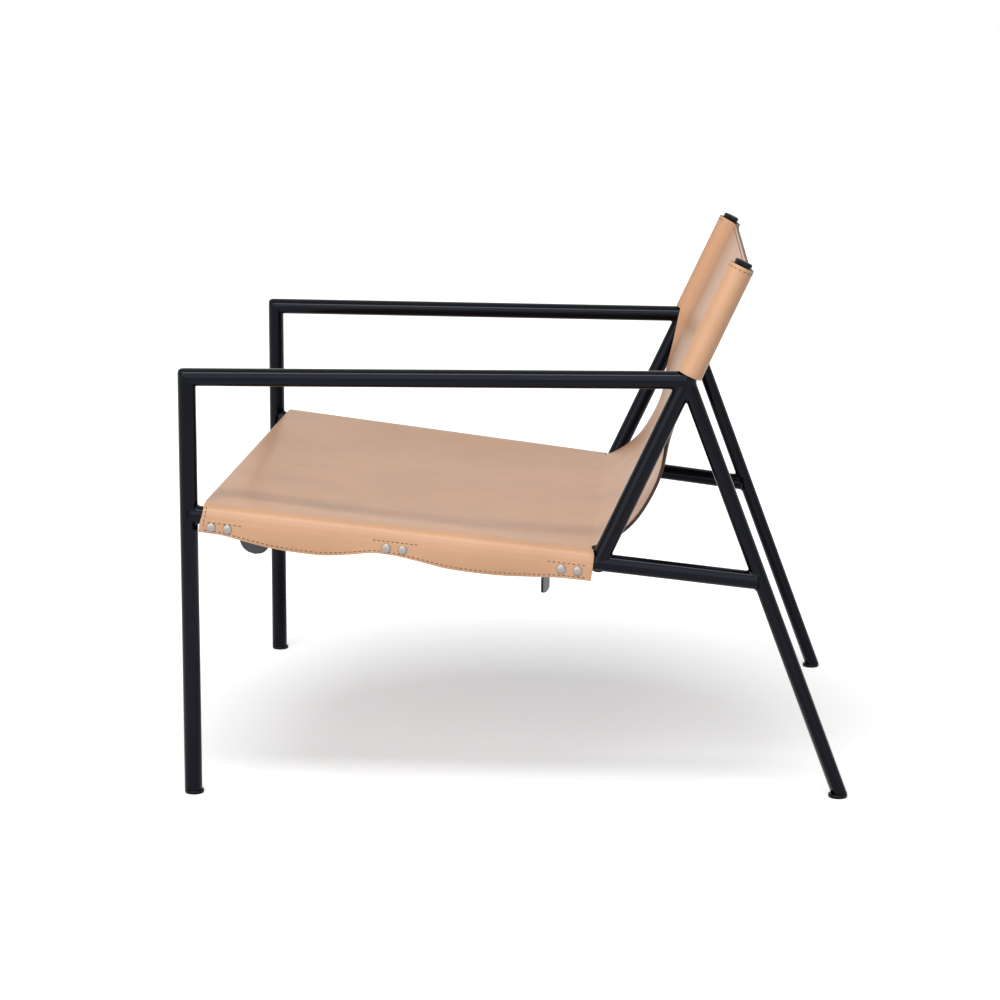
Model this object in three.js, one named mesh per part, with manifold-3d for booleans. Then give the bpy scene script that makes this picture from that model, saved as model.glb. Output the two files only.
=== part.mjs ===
import * as THREE from 'three';
import { mergeVertices } from 'three/addons/utils/BufferGeometryUtils.js';
import Module from 'manifold-3d';

const wasm = await Module();
wasm.setup();

// A lounge chair: two flat side frames of round tube, two cross tubes, and one leather sheet slung
// over the seat rails and the back posts, drawn tight by three buckled straps under the seat.
// Sizes are in millimetres. The chair stands on Z = 0 and faces -Y; the sitter's left is +X.

const { degToRad } = THREE.MathUtils;
const CLEARANCE = 0.3;

// Tube frame. Lengths along a side frame start at the front leg's axis.
const TUBE_D = 22;
const REAR_LEG_D = 19;
const TUBE_WALL = 2;
const FRONT_SPAN = 742;
const TOE_IN = degToRad(3.14);
const ARM_HEIGHT = 522;
const RAIL_HEIGHT = 354;
const RAIL_SLOPE = degToRad(6.51);
const POST_FOOT = 500.7;
const POST_LEAN = degToRad(24.8);
const POST_LENGTH = 401.5;
const REAR_FOOT = 805.2;
const REAR_FOOT_SADDLE = 5;
const FRONT_CROSS_AT = 38;

// Foot glides and post plugs
const GLIDE_D = 25;
const GLIDE_HEIGHT = 5;
const GLIDE_STEM = 18;
const PLUG_HEAD = 5;
const PLUG_CHAMFER = 1.2;
const PLUG_STEM = 14;

// Sling leather. Sets are distances from a tube's axis, drops are measured down from the rail's axis.
const LEATHER = 4;
const WRAP_STEP = degToRad(30);
const SEAT_INSET = 15;
const SEAT_SAG = 9;
const FLAP_FLARE = 0.6;
const FLAP_BEND_DROP = 4.5;
const FLAP_DROP = 19.5;
const FLAP_SWELL = 10;
const FLAP_MARGIN = 22;
const REAR_MARGIN = 25;
const HOLLOW_BULGE = 2;
const SLEEVE_ABOVE_ARM = 8;
const SLEEVE_BELOW_TOP = 1.5;
const SLEEVE_LEAVE = degToRad(-150);
const SLEEVE_EDGE_SET = -1.4;
const PANEL_SET = 10;
const PANEL_EASE = 45;
const RETURN_START = 20;
const RETURN_END = 65;

// The free run between seat and sleeve: share of the way up, and distance behind the post's axis.
const HOLLOW = [[0.13, 6], [0.23, 18], [0.37, 24], [0.51, 23], [0.66, 13], [0.82, 4]];

// Straps and rivets. Strap places are measured along the rail from the front leg's axis.
const FIRST_STRAP = 40;
const LAST_STRAP = 469;
const STRAP_WIDTH = 40;
const STRAP = 3;
const STRAP_TOP = 7.5;
const STRAP_BEND = 4.5;
const FOLD_REACH = 50;
const FOLD_CLOSE = 22;
const TAIL_BEND = 6;
const TAIL_DROP = 72;
const TAIL_STRAIGHT = 76;
const TAIL_TIP = 12;
const TAIL_SWING = 38;
const TAIL_TWIST = degToRad(80);
const RIVET_PITCH = 20;
const RIVET_DROP = 11;
const RIVET_HEAD_D = 12;
const RIVET_HEAD = 2.6;
const RIVET_SHANK_D = 5;
const RIVET_BURR_D = 5.8;
const RIVET_BURR = 0.8;

// Buckles
const BUCKLE_WIRE = 5;
const BUCKLE_HEEL_AT = 78;
const BUCKLE_LENGTH = 28;
const BUCKLE_TILT = 9.35;
const BUCKLE_SIDE_GAP = 1.5;
const PRONG_D = 3.2;
const PRONG_EYE = 2.4;
const PRONG_EYE_WIDTH = 3.6;
const PRONG_LENGTH = 33;
const PRONG_SLOT = 5;
const PRONG_SLOT_START = 20;
const KEEPER_AT = 30;
const KEEPER_WIDTH = 10;
const KEEPER_BAND = 2;

const TUBE_SIDES = 16;
const WIRE_SIDES = 8;

// Sizes that follow from the ones above
const TUBE_R = TUBE_D / 2;
const REAR_LEG_R = REAR_LEG_D / 2;
const LEATHER_R = (TUBE_R + CLEARANCE) / Math.cos(WRAP_STEP / 2) + LEATHER / 2;
const POST_FOOT_Z = RAIL_HEIGHT - POST_FOOT * Math.tan(RAIL_SLOPE);
const ARM_END = POST_FOOT + (ARM_HEIGHT - POST_FOOT_Z) * Math.tan(POST_LEAN);
const ARM_AT_POST = (ARM_HEIGHT - POST_FOOT_Z) / Math.cos(POST_LEAN);
const REAR_LEAN = Math.atan((REAR_FOOT - ARM_END) / ARM_HEIGHT);
const REAR_GLIDE_AT = REAR_FOOT - GLIDE_HEIGHT * Math.tan(REAR_LEAN);
const ORIGIN_Y = -REAR_GLIDE_AT * Math.cos(TOE_IN) / 2;
const SEAT_END = LAST_STRAP + REAR_MARGIN;
const SLEEVE_BOTTOM = ARM_AT_POST + SLEEVE_ABOVE_ARM;
const SLEEVE_TOP = POST_LENGTH - SLEEVE_BELOW_TOP;
const FLAP_SET = LEATHER_R + FLAP_FLARE;
const STRAP_SET = FLAP_SET - LEATHER / 2 - CLEARANCE - STRAP / 2;
const STRAP_RUN = RIVET_DROP + RIVET_BURR_D / 2 + STRAP_BEND;
const LAYER = STRAP + CLEARANCE;
const WIRE_R = BUCKLE_WIRE / 2;
const FOLD_R = WIRE_R + CLEARANCE + STRAP / 2;
const HEEL = new THREE.Vector2(BUCKLE_HEEL_AT, -STRAP_RUN - LAYER / 2);
const FRONT_BAR = HEEL.clone().add(new THREE.Vector2(-BUCKLE_LENGTH, -BUCKLE_TILT));

// Materials
const satinBlack = { color: 0x1b1c21, roughness: 0.42, metalness: 0.15 };
const tanLeather = { color: 0xcaa084, roughness: 0.5, metalness: 0 };
const blackLeather = { color: 0x24211f, roughness: 0.6, metalness: 0 };
const plugBlack = { color: 0x131316, roughness: 0.55, metalness: 0 };
const bareSteel = { color: 0xb9b2aa, roughness: 0.3, metalness: 1 };

// A closed geometry as a solid: shared corners are merged and triangles without area are dropped.
function solid(geometry) {
  const bare = geometry.clone();
  bare.deleteAttribute('normal');
  bare.deleteAttribute('uv');
  const merged = mergeVertices(bare);
  const kept = [];
  const index = merged.index.array;
  for (let i = 0; i < index.length; i += 3) {
    const [a, b, c] = [index[i], index[i + 1], index[i + 2]];
    if (a !== b && b !== c && c !== a) kept.push(a, b, c);
  }
  return new wasm.Manifold(new wasm.Mesh({
    numProp: 3,
    vertProperties: merged.attributes.position.array,
    triVerts: new Uint32Array(kept),
  }));
}

// The surface of a solid
function surface(body) {
  const { vertProperties, triVerts } = body.getMesh();
  const geometry = new THREE.BufferGeometry();
  geometry.setAttribute('position', new THREE.BufferAttribute(vertProperties, 3));
  geometry.setIndex(new THREE.BufferAttribute(triVerts, 1));
  geometry.computeVertexNormals();
  return geometry;
}

function add(group, name, look, geometry) {
  const mesh = new THREE.Mesh(geometry, new THREE.MeshStandardMaterial(look));
  mesh.name = name;
  group.add(mesh);
  return mesh;
}

// A round bar along +Z, or a pipe where an inner radius is given
function pipe(length, outer, inner = 0, sides = TUBE_SIDES) {
  const section = new THREE.Shape().absarc(0, 0, outer, 0, Math.PI * 2);
  if (inner > 0) section.holes.push(new THREE.Path().absarc(0, 0, inner, 0, Math.PI * 2, true));
  const settings = { depth: length, bevelEnabled: false, curveSegments: sides / 2 };
  return new THREE.ExtrudeGeometry(section, settings);
}

// The place of a straight piece in a side frame, with its own +Z running from one point to the other
function along(from, to) {
  const place = new THREE.Object3D();
  place.position.set(0, from.x, from.y);
  place.rotation.x = Math.atan2(from.x - to.x, to.y - from.y);
  place.updateMatrix();
  return place;
}

// The room that a tube takes from its neighbours
function room(from, to, diameter) {
  const length = from.distanceTo(to);
  const bar = pipe(length * 2, diameter / 2 + CLEARANCE).translate(0, 0, -length / 2);
  return solid(bar.applyMatrix4(along(from, to).matrix));
}

// Everything on one side of a plane in a side frame: the plane passes through a point and faces a direction
function beyond(point, direction) {
  const size = ARM_HEIGHT;
  const slab = new THREE.BoxGeometry(size, size, size).translate(0, 0, size / 2);
  return solid(slab.applyMatrix4(along(point, point.clone().add(direction)).matrix));
}

// A tube of the side frame, cut by its neighbours and stored along its own axis
function tube(group, name, from, to, diameter, cuts) {
  const place = along(from, to);
  const bore = diameter / 2 - TUBE_WALL;
  let body = solid(pipe(from.distanceTo(to), diameter / 2, bore).applyMatrix4(place.matrix));
  for (const cut of cuts) body = body.subtract(cut);
  const mesh = add(group, name, satinBlack, surface(body).applyMatrix4(place.matrix.clone().invert()));
  mesh.position.copy(place.position);
  mesh.rotation.copy(place.rotation);
}

// A foot glide: a disc on the floor with a stem that fills the leg's bore at the leg's own lean
function glide(group, name, at, lean, legRadius) {
  const disc = new THREE.CylinderGeometry(GLIDE_D / 2, GLIDE_D / 2, GLIDE_HEIGHT, TUBE_SIDES);
  disc.rotateX(Math.PI / 2).translate(0, 0, GLIDE_HEIGHT / 2);
  const length = GLIDE_STEM + GLIDE_HEIGHT;
  const stem = pipe(length, legRadius - TUBE_WALL - CLEARANCE);
  stem.rotateX(lean).translate(0, GLIDE_HEIGHT * Math.tan(lean), 0);
  const floor = new THREE.BoxGeometry(GLIDE_D, GLIDE_D, GLIDE_D).translate(0, 0, -GLIDE_D / 2);
  const body = solid(disc).add(solid(stem).subtract(solid(floor)));
  const mesh = add(group, name, plugBlack, surface(body));
  mesh.position.set(0, at, 0);
}

// A turned piece: its profile runs along +Z from the axis back to the axis
function turned(profile, sides) {
  const points = profile.map(([radius, height]) => new THREE.Vector2(radius, height));
  return new THREE.LatheGeometry(points, sides).rotateX(Math.PI / 2);
}

// A band of even thickness through stations, each with a centre, a direction across and a half width
function ribbon(stations, thickness) {
  const corners = [];
  const faces = [];
  for (const { centre, across, normal, half } of stations) {
    for (const [u, v] of [[-1, -1], [1, -1], [1, 1], [-1, 1]]) {
      const corner = centre.clone().addScaledVector(across, u * half);
      corners.push(corner.addScaledVector(normal, v * thickness / 2));
    }
  }
  const last = corners.length - 4;
  for (let i = 0; i < last; i += 4) {
    for (let j = 0; j < 4; j += 1) {
      const k = (j + 1) % 4;
      faces.push(i + j, i + k, i + 4 + k, i + j, i + 4 + k, i + 4 + j);
    }
  }
  faces.push(0, 2, 1, 0, 3, 2, last, last + 1, last + 2, last, last + 2, last + 3);
  const geometry = new THREE.BufferGeometry().setFromPoints(corners);
  geometry.setIndex(faces);
  return geometry;
}

// A sheet of even thickness over patches of its middle surface. Patches share the points of common edges.
function sheet(patches, thickness) {
  const points = [...new Set(patches.flat(2))];
  const number = new Map(points.map((point, i) => [point, i]));
  const normals = points.map(() => new THREE.Vector3());
  const quads = [];
  for (const rows of patches) {
    for (let i = 0; i + 1 < rows.length; i += 1) {
      for (let j = 0; j + 1 < rows[i].length; j += 1) {
        const quad = [rows[i][j], rows[i + 1][j], rows[i + 1][j + 1], rows[i][j + 1]];
        const diagonal = quad[2].clone().sub(quad[0]);
        const facing = diagonal.cross(quad[3].clone().sub(quad[1])).normalize();
        quads.push(quad.map((point) => number.get(point)));
        for (const k of quads.at(-1)) normals[k].add(facing);
      }
    }
  }
  const offset = (side) => points.map((point, i) => (
    point.clone().addScaledVector(normals[i].clone().normalize(), side * thickness / 2)
  ));
  const count = points.length;
  const edges = new Set(quads.flatMap((q) => q.map((a, i) => `${a},${q[(i + 1) % 4]}`)));
  const faces = [];
  for (const [a, b, c, d] of quads) {
    faces.push(a, b, c, a, c, d);
    faces.push(count + a, count + c, count + b, count + a, count + d, count + c);
  }
  for (const edge of edges) {
    const [a, b] = edge.split(',').map(Number);
    if (!edges.has(`${b},${a}`)) faces.push(b, a, count + a, b, count + a, count + b);
  }
  const geometry = new THREE.BufferGeometry().setFromPoints([...offset(1), ...offset(-1)]);
  geometry.setIndex(faces);
  return geometry;
}

// The chair and its two side frames
const chair = new THREE.Group();
const sides = [['left', 1], ['right', -1]].map(([name, sign]) => {
  const group = new THREE.Group();
  group.position.set(sign * FRONT_SPAN / 2, ORIGIN_Y, 0);
  group.rotation.z = sign * TOE_IN;
  chair.add(group);
  group.updateMatrixWorld();
  return { name, sign, group };
});

// Points of a side frame: beside its rail, and beside its back post. Outward is away from the sitter.
function besideRail({ sign, group }, reach, outward, up) {
  const y = reach * Math.cos(RAIL_SLOPE) + up * Math.sin(RAIL_SLOPE);
  const z = RAIL_HEIGHT - reach * Math.sin(RAIL_SLOPE) + up * Math.cos(RAIL_SLOPE);
  return new THREE.Vector3(sign * outward, y, z).applyMatrix4(group.matrixWorld);
}

function besidePost({ sign, group }, reach, outward, behind) {
  const y = POST_FOOT + reach * Math.sin(POST_LEAN) + behind * Math.cos(POST_LEAN);
  const z = POST_FOOT_Z + reach * Math.cos(POST_LEAN) - behind * Math.sin(POST_LEAN);
  return new THREE.Vector3(sign * outward, y, z).applyMatrix4(group.matrixWorld);
}

// Axes of the tubes in a side frame
const at = (reach, height) => new THREE.Vector2(reach, height);
const railAt = (reach) => at(reach, RAIL_HEIGHT - reach * Math.tan(RAIL_SLOPE));
const corner = at(0, ARM_HEIGHT);
const apex = at(ARM_END, ARM_HEIGHT);
const postFoot = at(POST_FOOT, POST_FOOT_Z);
const postRun = at(Math.sin(POST_LEAN), Math.cos(POST_LEAN));
const postTop = postFoot.clone().addScaledVector(postRun, POST_LENGTH);
const rearFoot = at(REAR_FOOT, 0);
const legSlope = (ARM_HEIGHT - 0) / (ARM_END - REAR_FOOT);
const railSlope = -Math.tan(RAIL_SLOPE);
const railEnd = railAt((RAIL_HEIGHT + legSlope * REAR_FOOT) / (legSlope - railSlope) - REAR_FOOT_SADDLE);
const railFront = railAt(0);
const frontFoot = at(0, GLIDE_HEIGHT + CLEARANCE);

const legRoom = room(frontFoot, corner, TUBE_D);
const postRoom = room(postFoot, postTop, TUBE_D);
const railRoom = room(railFront, railEnd, TUBE_D);
const rearLegRoom = room(apex, rearFoot, REAR_LEG_D);
const mitre = at(1, 1).normalize();
const mitreGap = mitre.clone().multiplyScalar(CLEARANCE / 2);
const cornerTop = at(0, ARM_HEIGHT + TUBE_R);
const armStart = at(-TUBE_R, ARM_HEIGHT);
const overArm = beyond(corner.clone().sub(mitreGap), mitre);
const underArm = beyond(corner.clone().add(mitreGap), mitre.clone().negate());
const underLeg = beyond(at(REAR_FOOT, GLIDE_HEIGHT + CLEARANCE), at(0, -1));

for (const { name, group } of sides) {
  tube(group, `${name}_front_leg`, frontFoot, cornerTop, TUBE_D, [overArm]);
  tube(group, `${name}_arm`, armStart, apex, TUBE_D, [underArm, postRoom]);
  tube(group, `${name}_rear_leg`, apex, rearFoot, REAR_LEG_D, [postRoom, underLeg]);
  tube(group, `${name}_seat_rail`, railFront, railEnd, TUBE_D, [legRoom, rearLegRoom]);
  tube(group, `${name}_back_post`, postFoot, postTop, TUBE_D, [railRoom]);
  glide(group, `${name}_front_glide`, 0, 0, TUBE_R);
  glide(group, `${name}_rear_glide`, REAR_GLIDE_AT, REAR_LEAN, REAR_LEG_R);
  const plugStem = TUBE_R - TUBE_WALL - CLEARANCE;
  const plug = turned([
    [0, -PLUG_STEM],
    [plugStem, -PLUG_STEM],
    [plugStem, CLEARANCE],
    [TUBE_R, CLEARANCE],
    [TUBE_R, PLUG_HEAD - PLUG_CHAMFER],
    [TUBE_R - PLUG_CHAMFER, PLUG_HEAD],
    [0, PLUG_HEAD],
  ], TUBE_SIDES);
  const plugMesh = add(group, `${name}_post_plug`, plugBlack, surface(solid(plug)));
  plugMesh.position.set(0, postTop.x, postTop.y);
  plugMesh.rotation.x = -POST_LEAN;
}

// Cross tubes between the rails, at the front edge of the seat and between the feet of the back posts
for (const [name, reach] of [['front_cross_tube', FRONT_CROSS_AT], ['rear_cross_tube', POST_FOOT]]) {
  const { x: y, y: z } = railAt(reach);
  const place = new THREE.Object3D();
  place.position.set(0, ORIGIN_Y + y * Math.cos(TOE_IN), z);
  place.rotation.y = Math.PI / 2;
  place.updateMatrix();
  const bar = pipe(FRONT_SPAN, TUBE_R, TUBE_R - TUBE_WALL).translate(0, 0, -FRONT_SPAN / 2);
  let body = solid(bar.applyMatrix4(place.matrix));
  for (const { sign, group } of sides) {
    const outside = new THREE.BoxGeometry(FRONT_SPAN, REAR_FOOT * 2, FRONT_SPAN);
    outside.translate(sign * FRONT_SPAN / 2, 0, z);
    const cuts = [surface(railRoom), surface(postRoom), outside];
    for (const cut of cuts) body = body.subtract(solid(cut.applyMatrix4(group.matrixWorld)));
  }
  const mesh = add(chair, name, satinBlack, surface(body).applyMatrix4(place.matrix.clone().invert()));
  mesh.position.copy(place.position);
  mesh.rotation.copy(place.rotation);
}

// Sling: the flap hangs lowest midway between two straps
const straps = ['front', 'middle', 'rear'].map((name, i) => ({
  name,
  reach: FIRST_STRAP + (LAST_STRAP - FIRST_STRAP) * i / 2,
}));

function flapDrop(reach) {
  const before = straps.findLast((strap) => strap.reach <= reach);
  const after = straps.find((strap) => strap.reach > reach);
  if (!before || !after) return FLAP_DROP;
  const free = after.reach - before.reach - FLAP_MARGIN * 2;
  const share = THREE.MathUtils.clamp((reach - before.reach - FLAP_MARGIN) / free, 0, 1);
  return FLAP_DROP + FLAP_SWELL * Math.sin(Math.PI * share);
}

// One row of the main panel: its two edges are given, and it hollows away from the sitter in between
const INSETS = [0, PANEL_EASE * 0.4, PANEL_EASE, PANEL_EASE * 3];
function panelRow(edge, away, sag, dish) {
  const half = INSETS.map((inset) => edge.x - inset);
  return [...half, 0, ...half.toReversed().map((x) => -x)].map((x) => {
    const inset = edge.x - Math.abs(x);
    const ease = 1 - (1 - Math.min(inset / PANEL_EASE, 1)) ** 2.5;
    const depth = sag * (1 - (x / edge.x) ** 4) + dish * ease;
    return new THREE.Vector3(x, edge.y, edge.z).addScaledVector(away, depth);
  });
}

const left = sides[0];
const down = new THREE.Vector3(0, -Math.sin(RAIL_SLOPE), -Math.cos(RAIL_SLOPE));
const back = new THREE.Vector3(0, Math.cos(POST_LEAN), -Math.sin(POST_LEAN));
const freeShares = [0.25, 0.5, 0.75];
const seatReaches = straps.flatMap(({ reach }, i) => {
  const start = reach + FLAP_MARGIN;
  const next = straps[i + 1];
  if (!next) return [reach - FLAP_MARGIN, SEAT_END];
  const free = freeShares.map((share) => start + (next.reach - FLAP_MARGIN - start) * share);
  return [reach - FLAP_MARGIN, start, ...free];
});
const sagStart = FRONT_CROSS_AT + TUBE_R;
const seatRows = seatReaches.map((reach) => {
  const share = Math.max(0, (reach - sagStart) / (SEAT_END - sagStart));
  const edge = besideRail(left, reach, -SEAT_INSET, LEATHER_R);
  return panelRow(edge, down, SEAT_SAG * Math.sin(Math.PI * share), 0);
});
const hollowRows = HOLLOW.map(([share, behind]) => {
  const edge = besidePost(left, SLEEVE_BOTTOM * share, -SEAT_INSET, behind);
  const away = down.clone().lerp(back, Math.min(1, share * 2)).normalize();
  const dish = share > 0.5 ? Math.max(0, PANEL_SET - behind) : 0;
  return panelRow(edge, away, HOLLOW_BULGE * Math.sin(Math.PI * share), dish);
});
const sleeveShares = [0, 0.3, 0.65, 1];
const sleeveReaches = sleeveShares.map((share) => SLEEVE_BOTTOM + (SLEEVE_TOP - SLEEVE_BOTTOM) * share);
const backRows = sleeveReaches.map((reach) => {
  const edge = besidePost(left, reach, -SEAT_INSET, SLEEVE_EDGE_SET);
  return panelRow(edge, back, 0, PANEL_SET - SLEEVE_EDGE_SET);
});

// Wraps, from the panel's edge outward: over the rail and down the flap, and round the post to its return
const seatWrap = (reach) => [
  [0, LEATHER_R],
  ...[1, 2, 3].map((i) => [LEATHER_R * Math.sin(i * WRAP_STEP), LEATHER_R * Math.cos(i * WRAP_STEP)]),
  [FLAP_SET, -FLAP_BEND_DROP],
  [FLAP_SET, -flapDrop(reach)],
];
const turns = Math.round((Math.PI / 2 - SLEEVE_LEAVE) / WRAP_STEP);
const returnSet = PANEL_SET + LEATHER + CLEARANCE;
const sleeveWrap = [
  ...Array.from({ length: turns + 1 }, (_, i) => SLEEVE_LEAVE + i * WRAP_STEP).map((angle) => (
    [LEATHER_R * Math.cos(angle), LEATHER_R * Math.sin(angle)]
  )),
  [-RETURN_START, returnSet],
  [-RETURN_END, returnSet],
];

const patches = [[...seatRows, ...hollowRows, ...backRows]];
for (const side of sides) {
  const near = side.sign > 0 ? 0 : -1;
  const ordered = (row) => (side.sign > 0 ? row.toReversed() : row);
  patches.push(seatReaches.map((reach, i) => {
    const wrap = seatWrap(reach).map(([outward, up]) => besideRail(side, reach, outward, up));
    return ordered([seatRows[i].at(near), ...wrap]);
  }));
  patches.push(sleeveReaches.map((reach, i) => {
    const wrap = sleeveWrap.map(([outward, behind]) => besidePost(side, reach, outward, behind));
    return ordered([backRows[i].at(near), ...wrap]);
  }));
}

// Rivets: each pair goes through a flap and the strap end behind it
const flapFace = FLAP_SET + LEATHER / 2;
const stack = LEATHER + STRAP + CLEARANCE * 2;
const rivet = turned([
  [0, -stack - RIVET_BURR],
  [RIVET_BURR_D / 2, -stack - RIVET_BURR],
  [RIVET_BURR_D / 2, -stack],
  [RIVET_SHANK_D / 2, -stack],
  [RIVET_SHANK_D / 2, CLEARANCE],
  [RIVET_HEAD_D / 2, CLEARANCE],
  [RIVET_HEAD_D * 0.46, CLEARANCE + RIVET_HEAD * 0.45],
  [RIVET_HEAD_D * 0.28, CLEARANCE + RIVET_HEAD * 0.85],
  [0, CLEARANCE + RIVET_HEAD],
], WIRE_SIDES);
const rivetRoom = pipe(FLAP_MARGIN * 2, RIVET_SHANK_D / 2 + CLEARANCE, 0, WIRE_SIDES);
rivetRoom.translate(0, 0, -FLAP_MARGIN);
const rivetHoles = [];
for (const side of sides) {
  for (const strap of straps) {
    for (const [number, step] of [[1, -0.5], [2, 0.5]]) {
      const name = `${side.name}_${strap.name}_rivet_${number}`;
      const mesh = add(side.group, name, bareSteel, surface(solid(rivet)));
      const place = besideRail(side, strap.reach + step * RIVET_PITCH, flapFace, -RIVET_DROP);
      mesh.position.copy(side.group.worldToLocal(place));
      mesh.rotation.y = side.sign * Math.PI / 2;
      mesh.updateWorldMatrix(true, false);
      rivetHoles.push(solid(rivetRoom.clone().applyMatrix4(mesh.matrixWorld)));
    }
  }
}

let leather = solid(sheet(patches, LEATHER));
for (const hole of rivetHoles) leather = leather.subtract(hole);
add(chair, 'sling', tanLeather, surface(leather));

// Straps: each lies across the chair in its own group, tilted like the rails
const X = new THREE.Vector3(1, 0, 0);
const Y = new THREE.Vector3(0, 1, 0);
const Z = new THREE.Vector3(0, 0, 1);
const HALF = STRAP_WIDTH / 2;
const plumb = new THREE.Vector3(0, Math.sin(RAIL_SLOPE), -Math.cos(RAIL_SLOPE));
const station = (centre, across, normal, half = HALF) => ({ centre, across, normal, half });
const level = (x, z, tilt = 0) => (
  station(new THREE.Vector3(x, 0, z), Y, new THREE.Vector3(-Math.sin(tilt), 0, Math.cos(tilt)))
);

// The end of a strap behind a flap: down past the rivets, then round to the middle of the chair
function strapEnd(side, group, reach) {
  const local = (outward, up, step = 0) => group.worldToLocal(besideRail(side, reach + step, outward, up));
  const across = local(0, 0, 1).sub(local(0, 0)).normalize();
  const bendTop = STRAP_BEND - STRAP_RUN;
  const ends = [[STRAP_SET, -STRAP_TOP, 0], [STRAP_SET, bendTop, 0]];
  for (const turn of [30, 60, 90].map(degToRad)) {
    const swing = STRAP_BEND * (1 - Math.cos(turn));
    ends.push([STRAP_SET - swing, bendTop - STRAP_BEND * Math.sin(turn), turn]);
  }
  return ends.map(([outward, up, turn]) => {
    const facing = local(Math.cos(turn), -Math.sin(turn)).sub(local(0, 0)).normalize();
    return station(local(outward, up), across, facing.multiplyScalar(side.sign));
  });
}

const slit = (from, to, width, depth) => {
  const box = new THREE.BoxGeometry(to - from, width, depth);
  return solid(box.translate((from + to) / 2, 0, HEEL.y));
};

// Free ends of the long straps, from below the buckle's heel bar on
const underHeel = HEEL.y - FOLD_R - STRAP / 2 - CLEARANCE - STRAP / 2;
const tipShares = [[0, 1], [0.5, 0.85], [0.85, 0.5], [1, 0.2]];

function straightTail() {
  const lift = -STRAP_RUN - LAYER * 2;
  const end = HEEL.x + FOLD_CLOSE + TAIL_STRAIGHT - TAIL_TIP;
  const tip = tipShares.map(([share, width]) => (
    { ...level(end + TAIL_TIP * share, lift), half: HALF * width }
  ));
  return [level(HEEL.x + WIRE_R, underHeel), level(HEEL.x + FOLD_CLOSE, lift), ...tip];
}

function hangingTail(swing, twist) {
  const start = HEEL.x + TAIL_BEND / 2;
  const stations = [level(start, underHeel)];
  for (const turn of [30, 60, 90].map(degToRad)) {
    const x = start + TAIL_BEND * Math.sin(turn);
    stations.push(level(x, underHeel - TAIL_BEND * (1 - Math.cos(turn)), -turn));
  }
  const top = stations.at(-1).centre;
  const fall = [0.2, 0.4, 0.6, 0.75].map((share) => [TAIL_DROP * share, 1]);
  for (const [share, width] of tipShares) fall.push([TAIL_DROP - TAIL_TIP * (1 - share), width]);
  for (const [length, width] of fall) {
    const share = Math.min(1, length / (TAIL_DROP * 0.75));
    const smooth = share * share * (3 - 2 * share);
    const across = Y.clone().applyAxisAngle(plumb, -twist * smooth);
    const centre = top.clone().addScaledVector(plumb, length).addScaledVector(Y, -swing * smooth);
    stations.push(station(centre, across, plumb.clone().cross(across), HALF * width));
  }
  return stations;
}

const tails = {
  front: () => hangingTail(0, 0),
  middle: () => straightTail(),
  rear: () => hangingTail(TAIL_SWING, TAIL_TWIST),
};

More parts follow.
